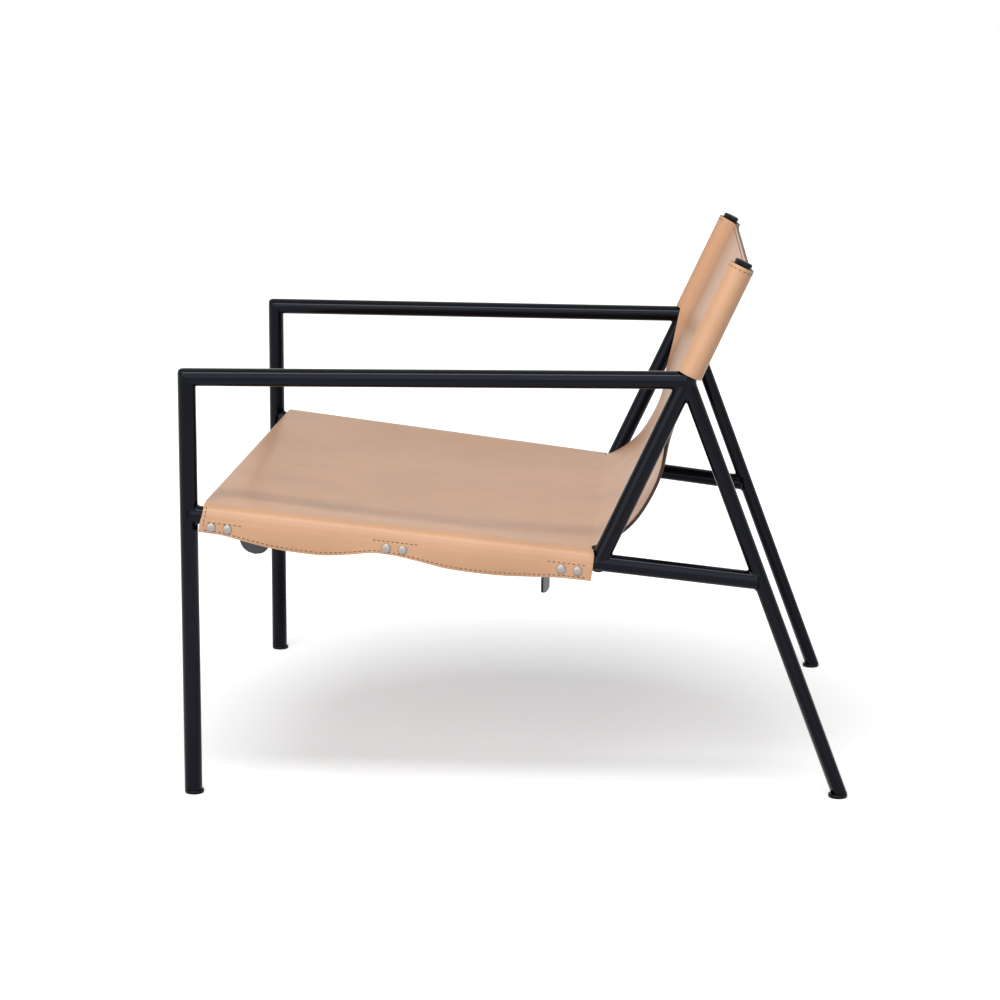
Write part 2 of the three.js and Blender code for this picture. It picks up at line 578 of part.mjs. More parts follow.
const [leftSide, rightSide] = sides;
for (const { name, reach } of straps) {
  const group = new THREE.Group();
  const rail = railAt(reach * Math.cos(RAIL_SLOPE));
  group.position.set(0, ORIGIN_Y + rail.x * Math.cos(TOE_IN), rail.y);
  group.rotation.x = -RAIL_SLOPE;
  chair.add(group);
  group.updateMatrixWorld();
  const toGroup = group.matrixWorld.clone().invert();
  const pierce = (body) => rivetHoles.reduce((rest, hole) => (
    rest.subtract(solid(surface(hole).applyMatrix4(toGroup)))
  ), body);

  // Short strap: folded round the heel bar, with a slit for the prong, and back under itself
  const under = Math.PI;
  const fold = [
    level(HEEL.x + FOLD_CLOSE, -STRAP_RUN, under),
    level(HEEL.x + WIRE_R, HEEL.y + FOLD_R, under),
  ];
  for (const turn of [0, 30, 60, 90, 120, 150, 180].map(degToRad)) {
    fold.push(level(HEEL.x - FOLD_R * Math.sin(turn), HEEL.y + FOLD_R * Math.cos(turn), under + turn));
  }
  fold.push(level(HEEL.x + WIRE_R, HEEL.y - FOLD_R));
  fold.push(level(HEEL.x + FOLD_CLOSE, -STRAP_RUN - LAYER));
  fold.push(level(HEEL.x + FOLD_REACH, -STRAP_RUN - LAYER));
  const eyeR = WIRE_R + CLEARANCE + PRONG_EYE;
  const shortEnd = strapEnd(leftSide, group, reach);
  const shortRun = level(shortEnd.at(-1).centre.x - HALF, -STRAP_RUN, under);
  const shortBody = solid(ribbon([...shortEnd, shortRun, ...fold], STRAP));
  const foldSlit = slit(HEEL.x - eyeR * 2, HEEL.x + eyeR + CLEARANCE * 2, PRONG_SLOT, FOLD_R * 4);
  add(group, `${name}_short_strap`, blackLeather, surface(pierce(shortBody).subtract(foldSlit)));

  // Long strap: over the buckle's front bar, down through the frame and on below the fold
  const overBar = FRONT_BAR.y + FOLD_R;
  const longEnd = strapEnd(rightSide, group, reach);
  const longRun = [
    level(longEnd.at(-1).centre.x + HALF, -STRAP_RUN),
    level(FRONT_BAR.x - HALF * 2, -STRAP_RUN),
    level(FRONT_BAR.x - WIRE_R, overBar),
    level(FRONT_BAR.x + WIRE_R, overBar),
    level(HEEL.x - FOLD_R - STRAP / 2, underHeel),
  ];
  const longBody = solid(ribbon([...longEnd, ...longRun, ...tails[name]()], STRAP));
  const longSlit = slit(HEEL.x - PRONG_SLOT_START, HEEL.x, PRONG_SLOT, FOLD_R * 8);
  add(group, `${name}_long_strap`, blackLeather, surface(pierce(longBody).subtract(longSlit)));

  // Buckle frame: two bars across the strap and two side bars
  const reachY = HALF + BUCKLE_SIDE_GAP + WIRE_R;
  const bars = [
    [HEEL, HEEL, -1, 1],
    [FRONT_BAR, FRONT_BAR, -1, 1],
    [HEEL, FRONT_BAR, -1, -1],
    [HEEL, FRONT_BAR, 1, 1],
  ].map(([a, b, from, to]) => {
    const start = new THREE.Vector3(a.x, from * reachY, a.y);
    const run = new THREE.Vector3(b.x, to * reachY, b.y).sub(start);
    const bar = new THREE.CapsuleGeometry(WIRE_R, run.length(), 1, WIRE_SIDES);
    bar.translate(0, run.length() / 2, 0);
    bar.applyQuaternion(new THREE.Quaternion().setFromUnitVectors(Y, run.clone().normalize()));
    return solid(bar.translate(start.x, start.y, start.z));
  });
  add(group, `${name}_buckle`, bareSteel, surface(bars.reduce((frame, bar) => frame.add(bar))));

  // Prong: an eye on the heel bar and a pin that rests under the front bar
  const line = FRONT_BAR.clone().sub(HEEL);
  const rest = Math.asin((WIRE_R + CLEARANCE + PRONG_D / 2) / line.length());
  const eye = pipe(PRONG_EYE_WIDTH, eyeR, WIRE_R + CLEARANCE).translate(0, 0, -PRONG_EYE_WIDTH / 2);
  eye.rotateX(Math.PI / 2);
  const pinStart = WIRE_R + CLEARANCE + PRONG_EYE / 2;
  const pin = pipe(PRONG_LENGTH - pinStart, PRONG_D / 2, 0, WIRE_SIDES).translate(0, 0, pinStart);
  pin.rotateY(-Math.PI / 2);
  const prong = add(group, `${name}_prong`, bareSteel, surface(solid(eye).add(solid(pin))));
  prong.position.set(HEEL.x, 0, HEEL.y);
  prong.rotation.y = -Math.atan2(BUCKLE_TILT, BUCKLE_LENGTH) - rest;

  // Keeper: a loop round the folded strap with room for a tail
  const keeperTop = -STRAP_RUN + STRAP / 2 + CLEARANCE;
  const keeperBottom = -STRAP_RUN - LAYER * 2 - STRAP / 2 - CLEARANCE;
  const rectangle = (half, low, high, Kind) => {
    const outline = [[-half, low], [half, low], [half, high], [-half, high]];
    return new Kind(outline.map(([y, z]) => new THREE.Vector2(y, z)));
  };
  const outer = HALF + CLEARANCE + KEEPER_BAND;
  const band = rectangle(outer, keeperBottom - KEEPER_BAND, keeperTop + KEEPER_BAND, THREE.Shape);
  band.holes.push(rectangle(HALF + CLEARANCE, keeperBottom, keeperTop, THREE.Path));
  const loop = new THREE.ExtrudeGeometry(band, { depth: KEEPER_WIDTH, bevelEnabled: false });
  loop.applyMatrix4(new THREE.Matrix4().makeBasis(Y, Z, X));
  const keeper = add(group, `${name}_keeper`, blackLeather, surface(solid(loop)));
  keeper.position.x = HEEL.x + KEEPER_AT;
}

export default chair;
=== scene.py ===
# %% [markdown]
# # A leather sling lounge chair
# The chair is two side frames of welded black tube, a sheet of thick tan leather slung over them, and
# three black straps under the seat that draw the leather tight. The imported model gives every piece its
# place and size; this lesson gives each piece its smooth surface and its finish.

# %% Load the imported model
import bmesh
import bpy
import numpy as np
from mathutils import Matrix


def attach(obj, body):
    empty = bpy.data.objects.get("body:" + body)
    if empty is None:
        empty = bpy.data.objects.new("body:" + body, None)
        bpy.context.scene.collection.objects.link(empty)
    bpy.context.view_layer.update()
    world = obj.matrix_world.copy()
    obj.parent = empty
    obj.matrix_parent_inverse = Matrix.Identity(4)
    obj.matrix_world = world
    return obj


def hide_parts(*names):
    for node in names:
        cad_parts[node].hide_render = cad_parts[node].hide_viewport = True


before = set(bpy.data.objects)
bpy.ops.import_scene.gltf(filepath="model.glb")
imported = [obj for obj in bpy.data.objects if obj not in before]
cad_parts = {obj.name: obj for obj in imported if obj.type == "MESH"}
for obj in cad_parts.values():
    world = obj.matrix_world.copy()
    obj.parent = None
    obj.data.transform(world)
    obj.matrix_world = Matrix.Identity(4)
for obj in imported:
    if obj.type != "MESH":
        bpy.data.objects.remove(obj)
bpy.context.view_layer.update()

# %% [markdown]
# The camera stands far off the sitter's left side and well above the arms, with a long lens, so the
# two side frames nearly line up. Its three directions (right, down and forward) come from the picture's
# perspective. Setting the world matrix directly is surer than aiming with angles.

# %% Camera
MM = 0.001
SENSOR, FOCAL_PIXELS, PICTURE_PIXELS = 36, 2653.6, 1000
right = np.array([-0.0631888, 0.9979891, 0.0049892])
below = np.array([0.1874073, 0.0167759, -0.982139])
ahead = np.array([-0.9802478, -0.0611251, -0.1880905])
eye = np.array([3519.8, 175.85, 981.3]) * MM


def set_pose(thing, x, y, z, place):
    """Set an object's world matrix from its three axes and its place."""
    pose = np.eye(4)
    pose[:3] = np.stack([x, y, z, place], -1)
    thing.matrix_world = Matrix(pose.tolist())


camera = bpy.data.objects.new("camera", bpy.data.cameras.new("camera"))
camera.data.sensor_width = SENSOR
camera.data.lens = FOCAL_PIXELS / PICTURE_PIXELS * SENSOR
camera.data.clip_end = 100
set_pose(camera, right, -below, -ahead, eye)
bpy.context.collection.objects.link(camera)
bpy.context.scene.camera = camera
print("lens", camera.data.lens)

# %% [markdown]
# Every shape below is worked out in millimetres in the chair's own frame: +Z up, the chair faces -Y and
# the sitter's left is +X. Each side frame lies in an upright plane that turns in by a few degrees towards
# the back, so a point is written in that plane: how far outward, how far back, how high.

# %% Sizes of the chair, in millimetres
TUBE_R, REAR_LEG_R, TUBE_WALL = 11.0, 9.5, 2.0
FRONT_HALF, TOE_IN = 371.0, np.radians(3.14)
ARM_HEIGHT, RAIL_HEIGHT, RAIL_SLOPE = 522.0, 354.0, np.radians(6.51)
POST_FOOT, POST_LEAN, POST_LENGTH = 500.7, np.radians(24.8), 401.5
REAR_FOOT, FRONT_CROSS_AT = 805.2, 38.0
GLIDE_HEIGHT = 5.0
POST_FOOT_Z = RAIL_HEIGHT - POST_FOOT * np.tan(RAIL_SLOPE)
ARM_END = POST_FOOT + (ARM_HEIGHT - POST_FOOT_Z) * np.tan(POST_LEAN)
ARM_AT_POST = (ARM_HEIGHT - POST_FOOT_Z) / np.cos(POST_LEAN)
REAR_LEAN = np.arctan((REAR_FOOT - ARM_END) / ARM_HEIGHT)
REAR_GLIDE_AT = REAR_FOOT - GLIDE_HEIGHT * np.tan(REAR_LEAN)
ORIGIN_Y = -REAR_GLIDE_AT * np.cos(TOE_IN) / 2
SIDES = {"left": 1, "right": -1}


def in_side(side, outward, reach, height):
    """A point of a side frame: outward from its plane, reach back along it, height above the floor."""
    outward, reach, height = np.broadcast_arrays(outward, reach, height)
    x = FRONT_HALF + outward * np.cos(TOE_IN) - reach * np.sin(TOE_IN)
    y = ORIGIN_Y + outward * np.sin(TOE_IN) + reach * np.cos(TOE_IN)
    return np.stack([side * x, y, height * np.ones_like(x)], -1)


def by_rail(side, reach, outward, up):
    """A point beside a seat rail: reach along its axis, outward from it, up square to it."""
    back = reach * np.cos(RAIL_SLOPE) + up * np.sin(RAIL_SLOPE)
    return in_side(side, outward, back, RAIL_HEIGHT - reach * np.sin(RAIL_SLOPE) + up * np.cos(RAIL_SLOPE))


def by_post(side, reach, outward, behind):
    """A point beside a back post: reach up its axis, outward from it, behind it square to it."""
    back = POST_FOOT + reach * np.sin(POST_LEAN) + behind * np.cos(POST_LEAN)
    return in_side(side, outward, back, POST_FOOT_Z + reach * np.cos(POST_LEAN) - behind * np.sin(POST_LEAN))


def rail_axis(reach):
    """Reach and height of the rail's axis at a distance along the side frame."""
    return reach, RAIL_HEIGHT - reach * np.tan(RAIL_SLOPE)


print("arm meets post at", round(float(ARM_END), 1), "and", round(float(ARM_AT_POST), 1), "up the post")

# %% [markdown]
# A few helpers turn arrays into pieces. A surface is a grid of points, row by row; neighbours in the grid
# make the quads. Where a grid closes on itself or runs to a pole, equal points are merged, and a closed
# skin then gets its normals turned outward.

# %% From a grid of points to a piece
def quads_of(rows, cols, first=0):
    """Corner numbers of the quads of a grid: each cell takes the points at (i, j), next column, next row."""
    cell = first + np.arange(rows - 1)[:, None] * cols + np.arange(cols - 1)[None, :]
    return np.stack([cell, cell + 1, cell + cols + 1, cell + cols], -1).reshape(-1, 4)


def join(*grids):
    """Points and quads of several grids in one list, with the corner numbers moved on for each grid."""
    points, quads, first = [], [], 0
    for grid in grids:
        rows, cols = grid.shape[:2]
        points.append(grid.reshape(-1, 3))
        quads.append(quads_of(rows, cols, first))
        first += rows * cols
    return np.concatenate(points), np.concatenate(quads)


def make_piece(name, points, quads, finish, slot, nodes=(), body="chair", closed=True, crease=40):
    """A smooth-shaded object from points in millimetres. It rides on a body and stands for its CAD nodes."""
    mesh = bpy.data.meshes.new(name)
    mesh.from_pydata((points * MM).tolist(), [], quads.tolist())
    work = bmesh.new()
    work.from_mesh(mesh)
    bmesh.ops.remove_doubles(work, verts=work.verts, dist=1e-6)
    bmesh.ops.dissolve_degenerate(work, edges=work.edges, dist=1e-7)
    if closed:
        bmesh.ops.recalc_face_normals(work, faces=work.faces)
    work.to_mesh(mesh)
    work.free()
    mesh.shade_smooth()
    mesh.set_sharp_from_angle(angle=np.radians(crease))
    for one in finish if isinstance(finish, (list, tuple)) else [finish]:
        mesh.materials.append(one)
    thing = bpy.data.objects.new(name, mesh)
    bpy.context.collection.objects.link(thing)
    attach(thing, body)
    if nodes:
        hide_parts(*nodes)
    return thing


def along_of(path):
    """Distance along a path at each of its points: the sum of the steps up to there."""
    return np.concatenate([[0], np.cumsum(np.linalg.norm(np.diff(path, axis=0), axis=1))])


def length_of(path):
    """Length of a whole path in millimetres."""
    return float(along_of(path)[-1])


def unit(v):
    """A vector, or each row of an array, scaled to length one."""
    v = np.asarray(v, float)
    return v / np.linalg.norm(v, axis=-1, keepdims=True)


print("helpers ready")

# %% [markdown]
# ## Finishes
# Each finish is one Principled shader whose colour, roughness and bump come from procedural textures in
# Object coordinates, so the grain keeps its real size on every piece. The frame is satin powder coat, with
# a fine orange peel. The leather is vegetable-tanned hide: soft mottling, a fine pebble grain, and a thin
# coat of wax. The flesh side is paler and dull, and the cut edges are burnished dark.

# %% Finish helpers
def new_finish(name, colour, roughness, metallic=0.0, specular=0.5):
    """A material with one Principled shader, its plain values set on the shader's own sockets."""
    material = bpy.data.materials.new(name)
    material.use_nodes = True
    shader = material.node_tree.nodes["Principled BSDF"]
    shader.inputs["Base Color"].default_value = (*colour, 1)
    shader.inputs["Roughness"].default_value = roughness
    shader.inputs["Metallic"].default_value = metallic
    shader.inputs["Specular IOR Level"].default_value = specular
    material.diffuse_color = (*colour, 1)
    return material, shader


def noise(material, scale, detail=3.0, rough=0.5):
    """Noise in Object coordinates, its scale in waves per metre."""
    nodes, links = material.node_tree.nodes, material.node_tree.links
    texture = nodes.new("ShaderNodeTexNoise")
    texture.inputs["Scale"].default_value = scale
    texture.inputs["Detail"].default_value = detail
    texture.inputs["Roughness"].default_value = rough
    links.new(nodes.new("ShaderNodeTexCoord").outputs["Object"], texture.inputs["Vector"])
    return texture.outputs["Fac"]


def ramp(material, value, stops):
    """A value carried through colour stops, given as (place, colour)."""
    node = material.node_tree.nodes.new("ShaderNodeValToRGB")
    band = node.color_ramp
    while len(band.elements) < len(stops):
        band.elements.new(0.5)
    for element, (place, colour) in zip(band.elements, stops):
        element.position = place
        element.color = (*colour, 1)
    material.node_tree.links.new(value, node.inputs["Fac"])
    return node.outputs["Color"]


def span(tree, value, low, high, start=0.0, end=1.0):
    """A value that goes from start to end, carried over so that it goes from low to high."""
    node = tree.nodes.new("ShaderNodeMapRange")
    node.inputs["From Min"].default_value, node.inputs["From Max"].default_value = start, end
    node.inputs["To Min"].default_value, node.inputs["To Max"].default_value = low, high
    tree.links.new(value, node.inputs["Value"])
    return node.outputs["Result"]


def wander(material, shader, scale, low, high, detail=3.0):
    """Roughness that wanders between two values with a noise."""
    tree = material.node_tree
    tree.links.new(span(tree, noise(material, scale, detail), low, high), shader.inputs["Roughness"])


def bump(material, shader, height, depth, strength=1.0, under=None):
    """A bump of a depth in metres, laid over another bump where one is given."""
    node = material.node_tree.nodes.new("ShaderNodeBump")
    node.inputs["Strength"].default_value = strength
    node.inputs["Distance"].default_value = depth
    material.node_tree.links.new(height, node.inputs["Height"])
    if under is not None:
        material.node_tree.links.new(under, node.inputs["Normal"])
    material.node_tree.links.new(node.outputs["Normal"], shader.inputs["Normal"])
    return node.outputs["Normal"]


print("finish helpers ready")

# %% [markdown]
# The tubes are powder coated, the plugs and glides are moulded plastic, and rivets and buckles are nickel
# plated. One shader each is enough: only the roughness wanders, and a very fine bump breaks up the shine.

# %% Powder coat, plastic and nickel
frame_black, coat = new_finish("frame_black", (0.0006, 0.0008, 0.0022), 0.13, specular=0.16)
coat.inputs["Specular Tint"].default_value = (0.78, 0.84, 1.0, 1)
wander(frame_black, coat, 60, 0.11, 0.15)
bump(frame_black, coat, noise(frame_black, 1200, 1.0), 0.00002, 0.35)

plug_black, plastic = new_finish("plug_black", (0.002, 0.002, 0.0024), 0.3, specular=0.14)
wander(plug_black, plastic, 120, 0.26, 0.36)
bump(plug_black, plastic, noise(plug_black, 2600, 2.0), 0.00006, 0.4)

bare_steel, nickel = new_finish("bare_steel", (0.29, 0.268, 0.247), 0.3, metallic=1.0)
wander(bare_steel, nickel, 400, 0.24, 0.4)
bump(bare_steel, nickel, noise(bare_steel, 1800, 2.0), 0.00003, 0.3)
print("hard finishes:", frame_black.name, plug_black.name, bare_steel.name)

# %% [markdown]
# Grain side, flesh side, cut edge and black strap differ in colour and shine, but all are hide, so one
# function makes them all. A painted image could do it too, but would need unwrapping.

# %% Leathers and thread
def tan_finish(name, tint, grain_depth, roughness, gloss):
    """Tanned hide: broad mottling in the colour, pebble grain and pores in the bump."""
    material, shader = new_finish(name, tint, roughness, specular=gloss)
    dark, light = (tuple(min(1, share * c) for c in tint) for share in (0.9, 1.07))
    broad = noise(material, 5.5, 4.0, 0.55)
    colour = ramp(material, broad, [(0.3, dark), (0.52, tint), (0.72, light)])
    material.node_tree.links.new(colour, shader.inputs["Base Color"])
    wander(material, shader, 35, roughness - 0.06, roughness + 0.08, 4.0)
    pores = bump(material, shader, noise(material, 900, 3.0, 0.6), grain_depth, 0.5)
    bump(material, shader, noise(material, 260, 2.0), grain_depth * 1.6, 0.35, pores)
    return material, shader


TAN = (0.64, 0.362, 0.208)
leather_tan, tan = tan_finish("leather_tan", TAN, 0.00003, 0.45, 0.36)
tan.inputs["Coat Weight"].default_value, tan.inputs["Coat Roughness"].default_value = 0.17, 0.21
leather_flesh = tan_finish("leather_flesh", (0.53, 0.37, 0.29), 0.00035, 0.85, 0.2)[0]
leather_edge = tan_finish("leather_edge", (0.05, 0.02, 0.014), 0.0001, 0.5, 0.35)[0]
leather_black = tan_finish("leather_black", (0.042, 0.045, 0.058), 0.00015, 0.45, 0.5)[0]
strap_edge = tan_finish("strap_edge", (0.004, 0.004, 0.005), 0.0001, 0.5, 0.3)[0]
thread_brown, thread = new_finish("thread_brown", (0.15, 0.085, 0.05), 0.7, specular=0.3)
bump(thread_brown, thread, noise(thread_brown, 2500, 1.0), 0.0001, 0.6)
print("finishes:", [m.name for m in bpy.data.materials])

# %% [markdown]
# ## The tube frame
# A welded tube is a plain round skin that ends on its neighbour. Each line of the skin runs along the
# tube until it reaches the neighbour's round wall, which a quadratic equation gives exactly. Near the end
# the radius swells a little: that is the weld's fillet. A sawn end stops on a flat plane instead. So do the
# mitred ends where a front leg meets its arm, and their outer tip is eased as a grinder would leave it.

# %% Round tubes with welded or sawn ends
UP = np.array([0.0, 0.0, 1.0])
TURN = np.linspace(0, 2 * np.pi, 65)[:, None]
WELD, WELD_BITE, WELD_RUN, LEAST_STOP = 2.2, 0.5, 1.5, 5.0
TIP_ROWS = (0, 1, 2.2, 3.6, 5.2, 7, 9, 11.5)


def sawn(normal):
    """An end cut on a plane through the end's centre: each line stops where it meets the plane."""
    def rows(radius, around, along):
        stop = lambda rho: -rho * (around @ normal) / (along @ normal)
        rim = 0.35
        return [(0 * stop(1), 0), (stop(radius - rim), radius - rim), (stop(radius) + rim, radius)]
    return rows


def mitred(normal):
    """An end cut on a plane that meets the next tube's cut, with close rows where the tip is eased."""
    def rows(radius, around, along):
        stop = -radius * (around @ normal) / (along @ normal)
        return [(0 * stop, 0), *((stop + step, radius) for step in TIP_ROWS)]
    return rows


def ease_tip(points, corner, forward):
    """Round the outer tip of a mitre. In the quarter beyond both tubes the square outline, where the greater
    of two distances stays the same, becomes one where the sum of their fourth powers does."""
    ahead_by, above = (points - corner) @ forward, points[..., 2] - corner[2]
    square = np.maximum(ahead_by, above)
    eased = np.maximum((ahead_by ** 4 + above ** 4) ** 0.25, 1e-6)
    pull = np.where((ahead_by > 0) & (above > 0), square / eased, 1) - 1
    return points + pull[..., None] * (ahead_by[..., None] * forward + above[..., None] * UP)


def welded(neighbour, wall, least=0.0):
    """An end that meets a round neighbour: where a skin line is wall away from the neighbour's axis."""
    def rows(radius, around, along):
        across = lambda v: v - (v @ neighbour)[..., None] * neighbour
        a = across(along[None])

        def stop(rho):
            w = across(rho * around)
            square = (a * a).sum(-1)
            middle = (a * w).sum(-1)
            rest = (w * w).sum(-1) - wall ** 2
            root = np.sqrt(np.maximum(middle ** 2 - square * rest, 0))
            return np.maximum((root - middle) / square, least)

        def fillet(s):
            swell = WELD * (1 - s) ** 2
            return stop(radius + swell) - WELD_BITE * (1 - s) + WELD_RUN * WELD * s, radius + swell

        return [(0 * stop(1), 0), *map(fillet, np.linspace(0, 1, 6))]
    return rows


def tube(start, end, radius, first, last):
    """Skin lines round an axis: rows of the first end, then rows of the last end, closed at both centres."""
    along = unit(end - start)
    side = unit(np.cross(along, [0.31, 0.17, 0.93] if abs(along[2]) < 0.5 else [1, 0.05, 0]))
    around = np.cos(TURN) * side + np.sin(TURN) * np.cross(along, side)
    row = lambda origin, step, d, rho: origin + d[:, None] * step + rho * around
    rows = [row(start, along, d, rho) for d, rho in first(radius, around, along)]
    rows += [row(end, -along, d, rho) for d, rho in reversed(last(radius, around, -along))]
    return np.stack(rows)


print("kinds of tube ends:", sawn.__name__, mitred.__name__, welded.__name__)

# %% [markdown]
# Each side frame is a front leg, an arm, a rear leg, a seat rail and a back post. A curve with a round bevel
# would be quicker, but could not end on its neighbour's wall. So a tube is two ends, a radius and two cuts.

# %% Ten side tubes and two cross tubes
leg_slope = -ARM_HEIGHT / (REAR_FOOT - ARM_END)
rail_end = (RAIL_HEIGHT + leg_slope * REAR_FOOT) / (leg_slope + np.tan(RAIL_SLOPE))
spots = {
    "foot": (0, GLIDE_HEIGHT), "corner": (0, ARM_HEIGHT), "apex": (ARM_END, ARM_HEIGHT),
    "rear_foot": (REAR_GLIDE_AT, GLIDE_HEIGHT), "rail_front": rail_axis(0), "rail_end": rail_axis(rail_end),
    "post_foot": (POST_FOOT, POST_FOOT_Z),
    "post_top": (POST_FOOT + POST_LENGTH * np.sin(POST_LEAN), POST_FOOT_Z + POST_LENGTH * np.cos(POST_LEAN)),
}
at = {name: {spot: in_side(sign, 0.0, *place) for spot, place in spots.items()}
      for name, sign in SIDES.items()}

for name, p in at.items():
    post, rail = unit(p["post_top"] - p["post_foot"]), unit(p["rail_end"] - p["rail_front"])
    rear = unit(p["rear_foot"] - p["apex"])
    mitre = unit(unit(p["apex"] - p["corner"]) + UP)
    tubes = {
        "front_leg": (p["foot"], p["corner"], TUBE_R, sawn(UP), mitred(mitre)),
        "arm": (p["corner"], p["apex"], TUBE_R, mitred(mitre), welded(post, TUBE_R)),
        "rear_leg": (p["apex"], p["rear_foot"], REAR_LEG_R, welded(post, TUBE_R), sawn(UP)),
        "seat_rail": (p["rail_front"], p["rail_end"], TUBE_R, welded(UP, TUBE_R),
                      welded(rear, REAR_LEG_R, LEAST_STOP)),
        "back_post": (p["post_foot"], p["post_top"], TUBE_R, welded(rail, TUBE_R), sawn(post)),
    }
    for part, spec in tubes.items():
        skin = tube(*spec)
        if part in ("front_leg", "arm"):
            skin = ease_tip(skin, p["corner"], unit(p["corner"] - p["apex"]))
        make_piece(f"{name}_{part}_skin", *join(skin), frame_black, "frame_black", [f"{name}_{part}"])

rails = {name: unit(p["rail_end"] - p["rail_front"]) for name, p in at.items()}
for part, reach in {"front_cross_tube": FRONT_CROSS_AT, "rear_cross_tube": POST_FOOT}.items():
    ends = [in_side(sign, 0.0, *rail_axis(reach)) for sign in SIDES.values()]
    grid = tube(*ends, TUBE_R, welded(rails["left"], TUBE_R), welded(rails["right"], TUBE_R))
    make_piece(f"{part}_skin", *join(grid), frame_black, "frame_black", [part])
print("tubes:", len(at) * 5 + 2)

# %% [markdown]
# Plugs and glides are moulded plastic, so they are turned shapes: a profile of radius and height carried
# round an axis. Small steps in the profile round off the moulded edges. The plugs' rims have ten shallow
# flutes, and the glides stand a little nearer the chair's middle than the legs.

# %% Post plugs and foot glides
def turned(profile, centre, axis, sides=48, flutes=0, cut=0.0):
    """A profile of (radius, height) pairs carried round an axis. Flutes cut its widest part as a wave."""
    radius, height = np.array(profile, float).T
    axis = unit(axis)
    side = unit(np.cross(axis, [0.2, 0.93, 0.31] if abs(axis[1]) < 0.9 else [1, 0, 0]))
    turn = np.linspace(0, 2 * np.pi, sides + 1)[:, None]
    around = np.cos(turn) * side + np.sin(turn) * np.cross(axis, side)
    wave = cut * (0.5 - 0.5 * np.cos(flutes * turn))
    reach = radius[:, None] - np.where(radius > radius.max() - 0.4, 1, 0)[:, None] * wave[:, 0]
    return centre + reach[..., None] * around + height[:, None, None] * axis


bore = TUBE_R - TUBE_WALL - 0.3
plug = [(0, -14), (bore, -14), (bore, 0.1), (10.7, 0.1), (11, 0.4), (11, 3.9), (10.8, 4.5), (10.2, 4.9),
        (9.4, 5), (8.6, 4.9), (8.2, 4.5), (0, 4.4)]
glide = [(0, 0), (10.6, 0), (11.6, 0.4), (12, 1.2), (12, 3.6), (11.7, 4.5), (11, 4.95), (0, 4.95)]
PLUG_SIDES, FLUTES, FLUTE_CUT = 80, 10, 1.0
glides = {"front_glide": ("foot", 1.2), "rear_glide": ("rear_foot", -1.7)}
for name, p in at.items():
    post = p["post_top"] - p["post_foot"]
    fluted = turned(plug, p["post_top"], post, PLUG_SIDES, FLUTES, FLUTE_CUT)
    make_piece(f"{name}_post_plug_skin", *join(fluted), plug_black, "plug_black", [f"{name}_post_plug"])
    for part, (spot, inward) in glides.items():
        centre = p[spot] - UP * GLIDE_HEIGHT + [0, inward, 0]
        make_piece(f"{name}_{part}_skin", *join(turned(glide, centre, UP)),
                   plug_black, "plug_black", [f"{name}_{part}"])
print("plugs and glides done")

# %% [markdown]
# ## The sling
# The sling is one sheet. Its middle surface is worked out first: a row of points from the right edge to the
# left edge for each step along the chair, from the seat's front, down into the hollow and up the back. Over
# the rails the rows go on round the tube and down as flaps; round the posts they go on as sleeves. A Solidify
# modifier then gives the hide its 4 mm, with the flesh side below and the burnished edge as materials of
# their own. The top of the back is a plain cut edge. A cloth simulation would add little here, since the
# straps draw the hide tight.

# %% The sling's edge line, from the side
LEATHER, WRAP_R, INSET = 4.0, 13.7, 15.0
SEAT_FRONT, SEAT_END = 18.0, 494.0
SEAT_SAG, BACK_SAG = 10.0, 2.0
SLEEVE_BOTTOM, SLEEVE_TOP = ARM_AT_POST + 6.5, POST_LENGTH - 1.5
EDGE_BEHIND, EDGE_EASE = -1.4, 5.5
PANEL_BEHIND, DISH_EASE, DISH_RIM = 9.2, 7.0, 45.0
# starts and lengths as shares of the way up to the sleeves
DISH_START, DISH_LENGTH, TURN_START, TURN_LENGTH = 0.35, 0.35, 0.6, 0.25


def smooth_path(knots, count):
    """Cubic pieces through knots, with the slope at a knot taken from its neighbours. The two end knots
    only give the slope there."""
    knots = np.asarray(knots, float)
    along = along_of(knots)
    slope = np.gradient(knots, along, axis=0)
    t = np.linspace(along[1], along[-2], count)
    i = np.clip(np.searchsorted(along, t) - 1, 1, len(along) - 3)
    h = (along[i + 1] - along[i])[:, None]
    s = (t - along[i])[:, None] / h
    start = (2 * s ** 3 - 3 * s ** 2 + 1) * knots[i] + (s ** 3 - 2 * s ** 2 + s) * h * slope[i]
    return start + (3 * s ** 2 - 2 * s ** 3) * knots[i + 1] + (s ** 3 - s ** 2) * h * slope[i + 1]


def smooth(share):
    """A share from 0 to 1 that starts and ends gently."""
    share = np.clip(share, 0, 1)
    return share * share * (3 - 2 * share)


def side_view(points):
    """Reach and height of points of the left side frame."""
    x, y = points[..., 0] - FRONT_HALF, points[..., 1] - ORIGIN_Y
    return np.stack([y * np.cos(TOE_IN) - x * np.sin(TOE_IN), points[..., 2]], -1)


